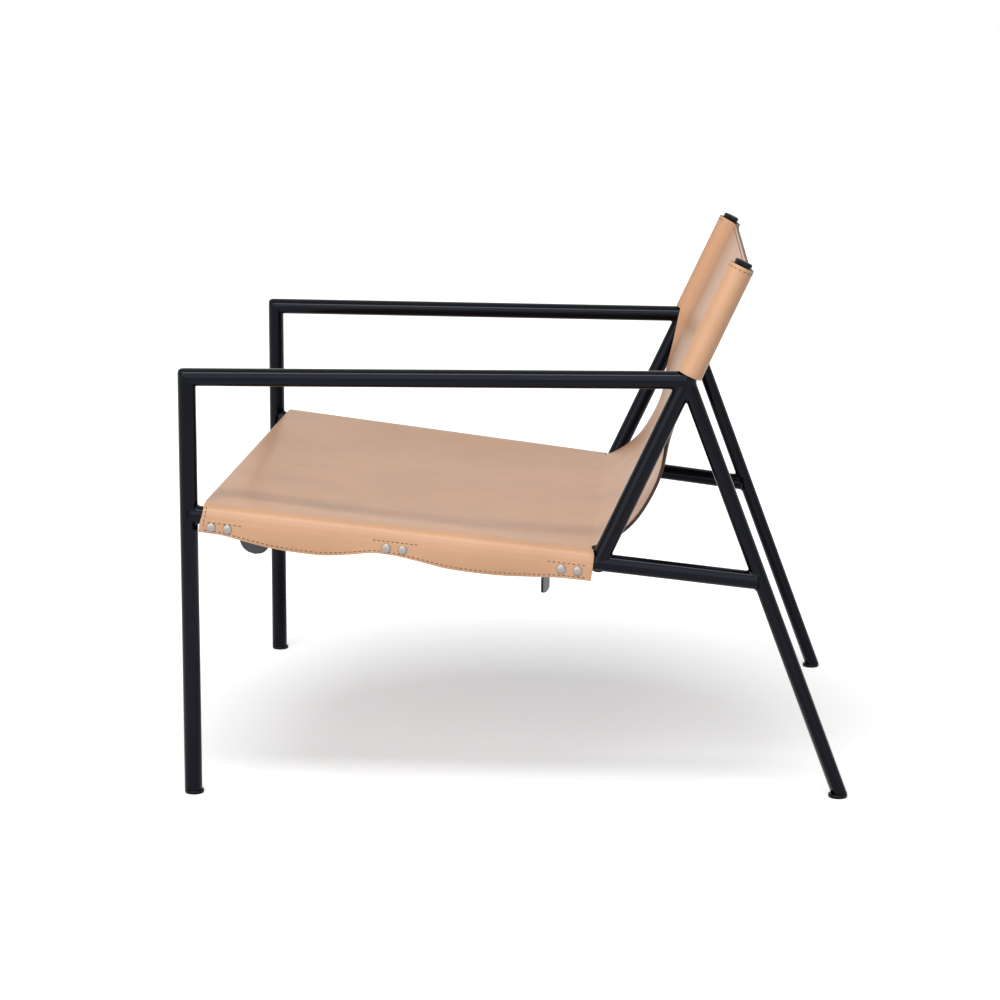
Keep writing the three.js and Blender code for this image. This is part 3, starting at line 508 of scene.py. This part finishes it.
seat_reach = np.linspace(SEAT_FRONT, SEAT_END, 111)
sleeve_reach = np.linspace(SLEEVE_BOTTOM, SLEEVE_TOP, 43)
seat_line = side_view(by_rail(1, seat_reach, -INSET, WRAP_R))
edge_behind = EDGE_BEHIND - EDGE_EASE * smooth(1 - (sleeve_reach - SLEEVE_BOTTOM) / 25)
sleeve_line = side_view(by_post(1, sleeve_reach, -INSET, edge_behind))
hollow = np.array([(0.13, 6), (0.23, 18), (0.37, 24), (0.51, 23), (0.66, 13), (0.82, 4), (0.92, -2.4)])
hollow_knots = side_view(by_post(1, hollow[:, 0] * SLEEVE_BOTTOM, -INSET, hollow[:, 1]))
hollow_ends = [seat_line[-8], seat_line[-1]], [sleeve_line[0], sleeve_line[8]]
hollow_line = smooth_path([*hollow_ends[0], *hollow_knots, *hollow_ends[1]], 82)[1:-1]
edge_line = np.concatenate([seat_line, hollow_line, sleeve_line])
print("rows of the sling:", len(edge_line))

# %% [markdown]
# Between the rails the hide hangs in a shallow curve, and in the back it lies behind the posts. Each row
# goes straight across from edge to edge and is then pushed away by a depth that fades out at both edges.

# %% The panel between the side frames
slope = unit(np.gradient(edge_line, axis=0))
away = np.stack([0 * slope[:, 0], slope[:, 1], -slope[:, 0]], -1)
up_post = (edge_line - [POST_FOOT, POST_FOOT_Z]) @ [np.sin(POST_LEAN), np.cos(POST_LEAN)] / SLEEVE_BOTTOM
in_back = smooth((up_post - TURN_START) / TURN_LENGTH)[:, None]
away = unit(away * (1 - in_back) + in_back * [0, np.cos(POST_LEAN), -np.sin(POST_LEAN)])
in_seat = np.arange(len(edge_line)) < len(seat_line)
reach = edge_line[:, 0]
sag_start = FRONT_CROSS_AT + TUBE_R
seat_share = np.clip((reach - sag_start) / (seat_line[-1, 0] - sag_start), 0, 1)
back_share = np.clip(up_post, 0, 1)
sag = np.where(in_seat, SEAT_SAG * np.sin(np.pi * seat_share), BACK_SAG * np.sin(np.pi * back_share))
behind = (edge_line - [POST_FOOT, POST_FOOT_Z]) @ [np.cos(POST_LEAN), -np.sin(POST_LEAN)]
lag = PANEL_BEHIND - behind
dish_share = smooth((up_post - DISH_START) / DISH_LENGTH)
dish = np.where(in_seat, 0, (lag + np.hypot(lag, DISH_EASE)) / 2 * dish_share)

across = np.sin(np.linspace(-np.pi / 2, np.pi / 2, 81))
rim = in_side(1, -INSET, *edge_line.T)
panel = np.stack([rim[:, :1] * across, *(np.repeat(rim[:, i:i + 1], len(across), 1) for i in (1, 2))], -1)
inset = rim[:, :1] * (1 - abs(across))
depth = sag[:, None] * (1 - across ** 4) + dish[:, None] * (1 - (1 - np.clip(inset / DISH_RIM, 0, 1)) ** 4)
panel = panel + depth[..., None] * away[:, None]
print("panel:", panel.shape)

# %% [markdown]
# Each side of the seat goes over its rail and hangs down as a flap, cut in waves along its lower edge. The
# wave is a smooth line through a few depths. A boolean cut would be ragged; here the grid ends on the wave.

# %% Flaps over the seat rails
FLAP_STAND, LEAN_FRONT, LEAN_BACK = 0.6, 2.6, 3.0
FLAP_SET = WRAP_R + FLAP_STAND
flap_drop = smooth_path([(0, 18.2), (18, 18.2), (44, 19), (72, 23.4), (108, 28.4), (138, 29.7), (172, 29),
                         (202, 24), (230, 18.7), (252, 18.8), (285, 22.6), (320, 27.6), (352, 28.7),
                         (384, 28.3), (425, 25), (460, 22), (494, 21.7), (510, 21.7)], 800)


def flap_stand(below, drop):
    """How far outward a flap's middle lies at a depth below the rail's axis. It eases off the tube. An edge
    deeper than 21 mm tucks in by 0.45 of what is deeper, for 8 mm at most, with the square of the depth."""
    tuck = 0.45 * np.clip(drop - 21, 0, 8)
    return WRAP_R + FLAP_STAND * smooth(below / 6) - tuck * (below / drop) ** 2


drop = np.interp(seat_reach, *flap_drop.T)[:, None]
bend = np.radians(np.linspace(0, 90, 15))[1:]
top_out = np.linspace(-INSET, 0, 6)[1:]
down = np.linspace(0, 1, 14)[1:]
full = np.ones_like(drop)
flap_out = np.concatenate([top_out * full, WRAP_R * np.sin(bend) * full, flap_stand(down * drop, drop)], 1)
flap_up = np.concatenate([WRAP_R + 0 * top_out * full, WRAP_R * np.cos(bend) * full, -down * drop], 1)
lean_front = np.clip((70 - seat_reach[:, None]) / 52, 0, 1) ** 3 * smooth((8 - flap_up) / 20)
lean_back = np.clip((seat_reach[:, None] - 440) / 54, 0, 1) ** 3 * smooth(flap_out / 12)
flap_reach = seat_reach[:, None] - LEAN_FRONT * lean_front + LEAN_BACK * lean_back
print("flap:", flap_out.shape)

# %% [markdown]
# The sides of the back go round the posts and are sewn down behind the panel. In section a sleeve is most
# of a circle about the post, with a short straight lead at its start and a flat return at its end.

# %% Sleeves round the back posts
WRAP_TURN, RETURN, RETURN_ROW = (-150, 90), 65.0, 60.0
turn = np.radians(np.linspace(*WRAP_TURN, 53))
lead = np.linspace(0, 1, 5)[1:-1]
back = np.linspace(0, RETURN, 17)
full = np.ones((len(sleeve_reach), 1))
lead_out = -INSET + lead * (WRAP_R * np.cos(turn[0]) + INSET)
sleeve_out = np.concatenate([lead_out, WRAP_R * np.cos(turn)]) * full
start = edge_behind[:, None]
lead_behind = start + lead * (WRAP_R * np.sin(turn[0]) - start)
sleeve_behind = np.concatenate([lead_behind, WRAP_R * np.sin(turn) * full], 1)
return_behind = WRAP_R + FLAP_STAND * smooth(back / 20)
print("sleeve:", sleeve_out.shape)

# %% [markdown]
# The patches share their edge points, so merging equal points sews them into one sheet. The lengths of its
# middle line and top row give the flat size of the hide to be cut.

# %% One hide from all patches
patches = [panel]
for side in SIDES.values():
    flap = by_rail(side, flap_reach, flap_out, flap_up)
    sleeve = by_post(side, sleeve_reach[:, None], sleeve_out, sleeve_behind)
    seam = -1 if side > 0 else 0
    flap = np.concatenate([panel[:len(seat_line), seam][:, None], flap], 1)
    sleeve = np.concatenate([panel[-len(sleeve_line):, seam][:, None], sleeve], 1)
    closing = by_post(side, sleeve_reach[:, None], -back, return_behind)
    patches += [grid[:, ::side] for grid in (flap, sleeve, closing)]
sling = make_piece("sling_hide", *join(*patches), [leather_tan, leather_flesh, leather_edge], "leather_tan",
                   ["sling"], closed=False)
hide_length = length_of(panel[:, len(across) // 2]) * MM
hide_width = (length_of(panel[-1]) + 2 * length_of(sleeve[-1]) + 2 * length_of(closing[-1])) * MM


def give_wall(thing, thickness, flesh=0, edge=0, round_edge=0.8):
    """A wall of a thickness about the middle surface, with its cut edges eased."""
    wall = thing.modifiers.new("wall", "SOLIDIFY")
    wall.thickness, wall.offset, wall.use_even_offset = thickness * MM, 0, True
    wall.material_offset, wall.material_offset_rim = flesh, edge
    ease = thing.modifiers.new("ease", "BEVEL")
    ease.width, ease.segments, ease.angle_limit = round_edge * MM, 2, np.radians(50)


give_wall(sling, LEATHER, 1, 2)

# %% [markdown]
# ## Rivets, straps and buckles
# Three black straps run under the seat. Each is two halves: the end of a half is riveted behind a flap, and
# in the middle a wire buckle joins them. The rivets come first: low domed heads on a shank. A flattened
# sphere would do for a head, but a turned profile, as for the plugs, gives it a rim too.

# %% Rivets in pairs through the flaps
STRAP_REACH = {"front": 40.0, "middle": 254.5, "rear": 469.0}
RIVET_DROP, RIVET_PITCH = 11.0, 20.0
RIVET_R, RIVET_RISE, SHANK_R = 5.8, 1.8, 2.5
FLAP_FACE = FLAP_SET + LEATHER / 2
dome = np.linspace(0, np.pi / 2, 9)
rivet = [(0, -9), (SHANK_R, -9), (SHANK_R, -0.1), (5.5, -0.1),
         *zip(RIVET_R * np.cos(dome), 0.35 + RIVET_RISE * np.sin(dome) ** 0.8)]
for side_name, side in SIDES.items():
    for strap_name, reach in STRAP_REACH.items():
        for number, step in ((1, -0.5), (2, 0.5)):
            foot = by_rail(side, reach + step * RIVET_PITCH, FLAP_FACE, -RIVET_DROP)
            axis = foot - by_rail(side, reach + step * RIVET_PITCH, 0, -RIVET_DROP)
            node = f"{side_name}_{strap_name}_rivet_{number}"
            head = turned(rivet, foot, axis, 32)
            make_piece(f"{node}_skin", *join(head), bare_steel, "bare_steel", [node])
print("rivets at", STRAP_REACH)

# %% [markdown]
# A strap is a strip. It lies in a plane across the chair, so its line needs only x and a height square to
# the seat's slope, and the width is carried square to that. Its end bends round below the rail, its run is
# level, and near the buckle it has a slit for the prong. The hide's wall helper gives it its thickness.

# %% Lines of the straps
HALF, STRAP = 20.0, 3.0
HEEL, FRONT_BAR, FOLD_R = np.array([78.0, -20.05]), np.array([50.0, -29.4]), 4.3
RUN, UNDER_HEEL = -18.4, -27.65
END_OUT, END_BEND, SLIT = 10.5, 4.5, 0.125
LEVEL_ACROSS = np.array([0, np.cos(RAIL_SLOPE), -np.sin(RAIL_SLOPE)])


def in_strap(reach, x, across, up):
    """A point of a strap: x from the chair's middle, across its width, up square to the seat's slope."""
    x, across, up = np.broadcast_arrays(x, across, up)
    y = ORIGIN_Y + (reach * np.cos(TOE_IN) + across) * np.cos(RAIL_SLOPE) + up * np.sin(RAIL_SLOPE)
    z = RAIL_HEIGHT - (reach + across) * np.sin(RAIL_SLOPE) + up * np.cos(RAIL_SLOPE)
    return np.stack([x + 0 * y, y, z], -1)


def rail_end_of(side, reach):
    """The strap's end behind a flap: down beside the rail, then round a bend to the level run."""
    turn = np.radians(np.linspace(0, 90, 9))
    out = np.concatenate([np.full(3, END_OUT), END_OUT - END_BEND * (1 - np.cos(turn))])
    up = np.concatenate([[-7.5, -9.5, -11.7], END_BEND + RUN - END_BEND * np.sin(turn)])
    middle = by_rail(side, reach, out, up)
    return middle, np.repeat(unit(by_rail(side, reach + 1, out[:1], up[:1]) - middle[:1]), len(out), 0)


def level_run(reach, knots, count):
    """A smooth run through (x, up) knots of a strap's side view."""
    knots = np.array(knots, float)
    path = smooth_path([2 * knots[0] - knots[1], *knots, 2 * knots[-1] - knots[-2]], count)
    return in_strap(reach, path[:, 0], 0.0, path[:, 1]), np.repeat(LEVEL_ACROSS[None], count, 0)


def strip(node, middle, across, half, at_slit):
    """A strip of leather from its middle line, with a slit in the rows that are picked. It is 40 mm wide and
    as long as its middle line."""
    share = np.array([-1, -0.7, -0.4, -SLIT, SLIT, 0.4, 0.7, 1])
    points, quads = join(middle[:, None] + (share * half[:, None])[..., None] * across[:, None])
    cut = np.zeros((len(middle) - 1, len(share) - 1), bool)
    cut[:, 3] = at_slit[:-1] & at_slit[1:]
    piece = make_piece(f"{node}_skin", points, quads[~cut.ravel()], [leather_black, strap_edge],
                       "leather_black", [node], closed=False)
    length = length_of(middle) * MM
    give_wall(piece, STRAP, edge=1, round_edge=0.7)
    print(node, "is", round(length, 3), "m long")


print("strap ends lie", END_OUT, "mm outward of the rails' axes")

# %% [markdown]
# The short half comes from the left rail, folds round the buckle's heel bar and is sewn back on itself. The
# fold is a half circle among the knots of its line.

# %% Short halves, folded round the buckle's heel bar
SHORT_SLIT = 9.0
turn = np.radians(np.linspace(0, 180, 9))
fold = np.stack([HEEL[0] - FOLD_R * np.sin(turn), HEEL[1] + FOLD_R * np.cos(turn)], -1)
for name, reach in STRAP_REACH.items():
    end, end_across = rail_end_of(1, reach)
    knots = [(end[-1, 0] - 6, RUN), (240, RUN), (150, RUN), (110, RUN), (100, RUN + 0.2), (90, RUN + 1.5),
             (81.5, HEEL[1] + FOLD_R), *fold, (81.5, HEEL[1] - FOLD_R), (90, RUN - 4.7), (100, RUN - 3.4),
             (110, RUN - 3.3), (128, RUN - 3.3)]
    run, run_across = level_run(reach, knots, 190)
    middle, across = np.concatenate([end, run]), np.concatenate([end_across, run_across])
    strip(f"{name}_short_strap", middle, across, np.full(len(middle), HALF),
          middle[:, 0] < HEEL[0] + SHORT_SLIT)

# %% [markdown]
# The long half goes over the buckle's front bar and under its heel bar. Two tails hang free, and the rear
# one has turned by nearly a quarter; the middle one lies in its keeper. A fall with a twist that grows along
# it needs no simulation and comes out the same on each run.

# %% Long halves, through the buckle, with their free tails
TAIL, TAIL_BEND, TIP, LONG_SLIT = 72.0, 6.0, 18.0, (-23.0, 3.4)
# how far a tail swings forward, how far it turns and how long its rounded tip is
HANG = {"front": (0.0, 0.0, TIP), "rear": (38.0, np.radians(80), 5.0)}
FLAT_END, OVER_BAR = 176.0, FRONT_BAR[1] + FOLD_R
to_buckle = [(0, RUN), (10, RUN - 0.1), (28, RUN - 3.2), (46, OVER_BAR), (53, OVER_BAR), (62, -26.6),
             (72, UNDER_HEEL)]


def tip_width(left, tip):
    """Half width near a rounded tip: a half ellipse in the length that is left."""
    return HALF * np.sqrt(np.clip(1 - (1 - np.clip(left / tip, 0, 1)) ** 2, 1e-4, 1))


for name, reach in STRAP_REACH.items():
    end, end_across = rail_end_of(-1, reach)
    start = [(end[-1, 0] + 6, RUN), (-240, RUN), (-150, RUN), (-60, RUN)]
    if name in HANG:
        swing, twist, tip = HANG[name]
        bend = np.radians(np.linspace(0, 90, 8))
        x, up = 81 + TAIL_BEND * np.sin(bend), UNDER_HEEL - TAIL_BEND * (1 - np.cos(bend))
        run, run_across = level_run(reach, [*start, *to_buckle, (81, UNDER_HEEL)], 150)
        round_off = np.cos(np.linspace(0, np.pi / 2, 16))[1:]
        fall = np.concatenate([np.linspace(0, TAIL - tip, 22)[1:], TAIL - tip * round_off])
        turned_by = smooth(fall / (TAIL * 0.75))[:, None]
        hang = in_strap(reach, x[-1], 0.0, up[-1]) - UP * fall[:, None] - LEVEL_ACROSS * swing * turned_by
        side_on = np.cross(UP, LEVEL_ACROSS)
        hang_across = LEVEL_ACROSS * np.cos(twist * turned_by) + side_on * np.sin(twist * turned_by)
        middle = np.concatenate([end, run, in_strap(reach, x[1:], 0.0, up[1:]), hang])
        bend_across = np.repeat(LEVEL_ACROSS[None], len(bend) - 1, 0)
        across = np.concatenate([end_across, run_across, bend_across, unit(hang_across)])
        half = np.full(len(middle), HALF)
        half[-len(fall):] = tip_width(TAIL - fall, tip)
    else:
        under = [(80.5, UNDER_HEEL), (90, -26.0), (100, RUN - 6.6), (120, RUN - 6.6), (FLAT_END, RUN - 6.6)]
        run, run_across = level_run(reach, [*start, *to_buckle, *under], 230)
        middle, across = np.concatenate([end, run]), np.concatenate([end_across, run_across])
        half = tip_width(FLAT_END - middle[:, 0], TIP)
    in_run = np.arange(len(middle)) < len(end) + len(run)
    from_heel = middle[:, 0] - HEEL[0]
    strip(f"{name}_long_strap", middle, across, half,
          in_run & (from_heel > LONG_SLIT[0]) & (from_heel < LONG_SLIT[1]))
print("straps:", list(STRAP_REACH))

# %% [markdown]
# The buckle is one bent wire. Its middle line is a rectangle with rounded corners, and a small circle is
# carried along it. The prong is a wire with an eye round the heel bar: it rides on a body of its own,
# because it is the one thing on the chair that turns.

# %% Buckles, prongs and keepers
def rounded_box(half_x, half_y, radius, steps=8):
    """Corners and sides of a rounded rectangle about zero, once round, ending where it starts."""
    turn = np.radians(np.linspace(0, 90, steps))
    quarter = np.array([half_x, half_y]) - radius + radius * np.stack([np.cos(turn), np.sin(turn)], -1)
    flip = np.array([(1, 1), (-1, 1), (-1, -1), (1, -1)])
    loop = np.concatenate([(quarter if sx * sy > 0 else quarter[::-1]) * (sx, sy) for sx, sy in flip])
    return np.concatenate([loop, loop[:1]])


def wire_loop(path, normal, radius, sides=16):
    """A circle carried round a closed flat path."""
    ahead_of = np.concatenate([path[1:], path[1:2]]) - np.concatenate([path[-2:-1], path[:-1]])
    out = unit(np.cross(ahead_of, normal))
    turn = np.linspace(0, 2 * np.pi, sides + 1)[:, None]
    return path[:, None] + radius * (np.cos(turn) * out[:, None] + np.sin(turn) * normal)


WIRE_R, PRONG_OVER_BAR, BUCKLE_HALF = 2.5, 4.4, 24.0
KEEPER_WALL, KEEPER_UP, KEEPER_SPAN = 2.0, -21.7, (108, 118)
buckle_line = FRONT_BAR - HEEL
frame_length = np.linalg.norm(buckle_line)
tilt = np.arctan2(-buckle_line[1], -buckle_line[0])
pin_tilt = tilt + np.arcsin(PRONG_OVER_BAR / frame_length)
outline = rounded_box(frame_length / 2, BUCKLE_HALF, 4.5)
eye_turn = np.linspace(0, 2 * np.pi, 33)[:, None]
wire_turn = np.linspace(0, 2 * np.pi, 13)[None]
pin_along = np.array([3.6, 6, 18, 29, 31.6, 32.7, 33.0])[:, None]
pin_r = np.array([1.6, 1.6, 1.6, 1.55, 1.25, 0.7, 0])[:, None]
band = rounded_box(21.3, 6.1, 2.4)
for name, reach in STRAP_REACH.items():
    centre = (HEEL + FRONT_BAR) / 2
    x, up = centre[0] + outline[:, 0] * np.cos(tilt), centre[1] + outline[:, 0] * np.sin(tilt)
    path = in_strap(reach, x, outline[:, 1], up)
    flat = unit(np.cross(path[5] - path[20], path[20] - path[12]))
    make_piece(f"{name}_buckle_skin", *join(wire_loop(path, flat, WIRE_R)), bare_steel, "bare_steel",
               [f"{name}_buckle"])

    ring = 4.0 + 1.2 * np.cos(wire_turn)
    eye_loop = in_strap(reach, HEEL[0] + ring * np.cos(eye_turn), 1.8 * np.sin(wire_turn),
                        HEEL[1] + ring * np.sin(eye_turn))
    lift = pin_r * np.sin(wire_turn)
    pin_x = HEEL[0] - pin_along * np.cos(pin_tilt) + lift * np.sin(pin_tilt)
    pin_up = HEEL[1] - pin_along * np.sin(pin_tilt) - lift * np.cos(pin_tilt)
    pin = in_strap(reach, pin_x, pin_r * np.cos(wire_turn), pin_up)
    make_piece(f"{name}_prong_skin", *join(eye_loop, pin), bare_steel, "bare_steel", [f"{name}_prong"],
               body=f"{name}_prong_pin")

    loop = in_strap(reach, np.linspace(*KEEPER_SPAN, 4), band[:, :1], KEEPER_UP + band[:, 1:])
    keeper = make_piece(f"{name}_keeper_skin", *join(loop), leather_black, "leather_black",
                        [f"{name}_keeper"])
    give_wall(keeper, KEEPER_WALL, round_edge=0.5)
print("buckles done")

# %% [markdown]
# ## Stitching
# Brown waxed thread runs along the flaps, above each pair of rivets, round the sleeves and along the top.
# One stitch is a small bent rod of a few dozen faces. A row takes a path on the leather's face, walks along
# it at an even pitch and sets a stitch at each step, all in one array.

# %% Rows of stitches
PITCH, STITCH, THREAD = 6.0, 3.7, 0.55
EDGE_ROW, TOP_ROW = 3.2, 4.5
RIDGE_AT, FRONT_ROW_AT, FACE_CLEAR, REAR_CLEAR = 21.5, 20.5, 21, 55
ABOVE_RIVETS = ((24, 68, 5.0), (226, 283, 2.4), (440, 489, 3.2))
rod = np.array([(-0.5, 0.35, -0.9), (-0.4, 0.85, -0.05), (0, 1, 0.25), (0.4, 0.85, -0.05),
                (0.5, 0.35, -0.9)])
rod_turn = np.linspace(0, 2 * np.pi, 7)


def stitch_row(path, face):
    """Stitches along a path on a surface: their points, as (stitch, along, round, 3). The face gives the
    direction out of the leather, one for the row or one for each point of the path."""
    path, face = np.asarray(path, float), np.broadcast_to(np.asarray(face, float), np.shape(path))
    along = along_of(path)
    count = max(2, int(round(along[-1] / PITCH)))
    places = (np.arange(count) + 0.5) * along[-1] / count
    walk = lambda values, t: np.stack([np.interp(t, along, values[:, i]) for i in range(3)], -1)
    middle = walk(path, places)[:, None, None]
    ahead_of = unit(walk(path, places + 0.5) - walk(path, places - 0.5))[:, None, None]
    out = unit(walk(face, places))[:, None, None]
    beside_it = np.cross(ahead_of, out)
    x, size, lift = (rod[:, i][None, :, None, None] for i in range(3))
    ring_out = np.sin(rod_turn)[None, None, :, None]
    ring_side = np.cos(rod_turn)[None, None, :, None]
    section = (size * ring_out + lift) * out + size * ring_side * beside_it
    return middle + STITCH * x * ahead_of + THREAD * section


def flap_row(side, reach, below):
    """A path on the flap's face: reach along the rail and how far below its axis."""
    reach, below = np.broadcast_arrays(reach, np.asarray(below, float))
    low = np.interp(reach, *flap_drop.T)
    out = flap_stand(below, low) + LEATHER / 2
    on_face = by_rail(side, reach, out, -below)
    return on_face, by_rail(side, reach, out + 1, -below) - on_face


rows = []
edge_reach = np.linspace(20, 490, 400)
edge_below = np.interp(edge_reach, *flap_drop.T) - EDGE_ROW
wrap_turn = np.radians(np.linspace(*WRAP_TURN, 80))
ring = WRAP_R + LEATHER / 2
for side in SIDES.values():
    rows.append(stitch_row(*flap_row(side, edge_reach, edge_below)))
    for low, high, below in ABOVE_RIVETS:
        rows.append(stitch_row(*flap_row(side, np.linspace(low, high, 30), below)))
    bend = np.radians(np.linspace(35, 90, 20))
    over = by_rail(side, RIDGE_AT, ring * np.sin(bend), ring * np.cos(bend))
    over_face = over - by_rail(side, RIDGE_AT, 0.0, 0.0)
    rows.append(stitch_row(over, over_face))
    rows.append(stitch_row(*flap_row(side, FRONT_ROW_AT, np.linspace(0.5, 12, 10))))
    round_post = by_post(side, SLEEVE_TOP - TOP_ROW, ring * np.cos(wrap_turn), ring * np.sin(wrap_turn))
    rows.append(stitch_row(round_post, round_post - by_post(side, SLEEVE_TOP - TOP_ROW, 0.0, 0.0)))
    up_seam = np.linspace(SLEEVE_BOTTOM + 4, SLEEVE_TOP - 4, 40)
    rows.append(stitch_row(by_post(side, up_seam, -RETURN_ROW, FLAP_FACE), away[-1]))
top_row = panel[-1] - TOP_ROW * np.array([0, slope[-1, 0], slope[-1, 1]])
rows += [stitch_row(top_row[inset[-1] > FACE_CLEAR] - LEATHER / 2 * away[-1], -away[-1]),
         stitch_row(top_row[inset[-1] > REAR_CLEAR] + LEATHER / 2 * away[-1], away[-1])]
thread_rows = np.concatenate(rows)
stitches = make_piece("sling_stitches", *join(*thread_rows), thread_brown, "leather_tan", crease=60)
print("stitches:", len(thread_rows))

# %% [markdown]
# ## Light, floor and finish
# Plain soft studio light. One long soft box hangs above the sitter's left side and draws the shine along
# the arms and the leather. A low and very broad sun lights the near side, two weak suns soften the shadows,
# and a pale world fills the rest.

# %% Soft lamps and a white world
scene = bpy.context.scene
scene.view_settings.view_transform = "Standard"
WORLD_LIGHT, KEY_WATTS, KEY_SIZE = 0.12, 18.0, (0.42, 1.6)
KEY_PLACE, KEY_TARGET = (1.05, -0.2, 1.89), (0.36, -0.13, 0.34)
SUNS = {"front": (2.2, 80, (0.97, -0.2, 0.17)), "near": (0.12, 50, (0.5, -0.6, 0.62)),
        "rear": (0.12, 50, (0.5, 0.6, 0.62))}


def seen_rays(tree):
    """1 for rays from the camera, a mirror or glass, 0 for the rest."""
    path = tree.nodes.new("ShaderNodeLightPath")
    total = path.outputs["Is Camera Ray"]
    for kind in ("Is Glossy Ray", "Is Transmission Ray"):
        both = tree.nodes.new("ShaderNodeMath")
        both.operation = "MAXIMUM"
        tree.links.new(total, both.inputs[0])
        tree.links.new(path.outputs[kind], both.inputs[1])
        total = both.outputs[0]
    return total


world = bpy.data.worlds.new("studio")
scene.world = world
world.use_nodes = True
sky = world.node_tree.nodes["Background"]
sky.inputs["Color"].default_value = (1, 1, 1, 1)
tree = world.node_tree
tree.links.new(span(tree, seen_rays(tree), WORLD_LIGHT, 1.0), sky.inputs["Strength"])


def hang_lamp(name, kind, energy, place, target=(0, 0, 0)):
    """A lamp at a place, with its own -Z axis towards a target and its own Y axis along the chair."""
    lamp = bpy.data.objects.new(name, bpy.data.lights.new(name, kind))
    lamp.data.energy = energy
    z = unit(np.subtract(place, target))
    x = unit(np.cross([0, 1, 0], z))
    set_pose(lamp, x, np.cross(z, x), z, place)
    lamp.visible_camera = False
    bpy.context.collection.objects.link(lamp)
    return lamp.data


key = hang_lamp("key", "AREA", KEY_WATTS, KEY_PLACE, KEY_TARGET)
key.shape, key.size, key.size_y = "RECTANGLE", *KEY_SIZE
for name, (strength, angle, toward) in SUNS.items():
    hang_lamp(name, "SUN", strength, toward).angle = np.radians(angle)
print("lamps:", ["key", *SUNS])

# %% [markdown]
# The floor catches the chair's soft shadow. It is pale paint with a glow that rises away from the chair, so
# it goes over into the white world without a line. Near the chair the glow stays low: painted shade, which
# darkens a pool round a spot just before the seat's middle, on top of the real shadow.

# %% Floor
# painted shade: within the first distance of this centre the glow is lowest, so the floor round the chair is
# darker than its light makes it
PAINTED_SHADOW_CENTRE, PAINTED_SHADOW_EDGE, PAINTED_SHADOW_GLOW = (0.07, 0, 0), (0.3, 0.85), (0.45, 1.0)
floor_mesh = bpy.data.meshes.new("floor")
floor_mesh.from_pydata([(-60, -60, 0), (60, -60, 0), (60, 60, 0), (-60, 60, 0)], [], [(0, 1, 2, 3)])
floor = bpy.data.objects.new("floor", floor_mesh)
bpy.context.collection.objects.link(floor)
floor_white, paint = new_finish("floor_white", (0.8, 0.8, 0.8), 0.9, specular=0.0)
paint.inputs["Emission Color"].default_value = (1, 1, 1, 1)
tree = floor_white.node_tree
far = tree.nodes.new("ShaderNodeVectorMath")
far.operation = "DISTANCE"
far.inputs[1].default_value = PAINTED_SHADOW_CENTRE
tree.links.new(tree.nodes.new("ShaderNodeTexCoord").outputs["Object"], far.inputs[0])
# the glow is low near the chair and high far off; its low part is a painted shadow pool
glow = tree.nodes.new("ShaderNodeMath")
glow.operation = "MULTIPLY"
tree.links.new(span(tree, far.outputs["Value"], *PAINTED_SHADOW_GLOW, *PAINTED_SHADOW_EDGE), glow.inputs[0])
tree.links.new(seen_rays(tree), glow.inputs[1])
tree.links.new(glow.outputs[0], paint.inputs["Emission Strength"])
floor_mesh.materials.append(floor_white)
print("floor glow rises from", PAINTED_SHADOW_EDGE[0], "to", PAINTED_SHADOW_EDGE[1], "m")
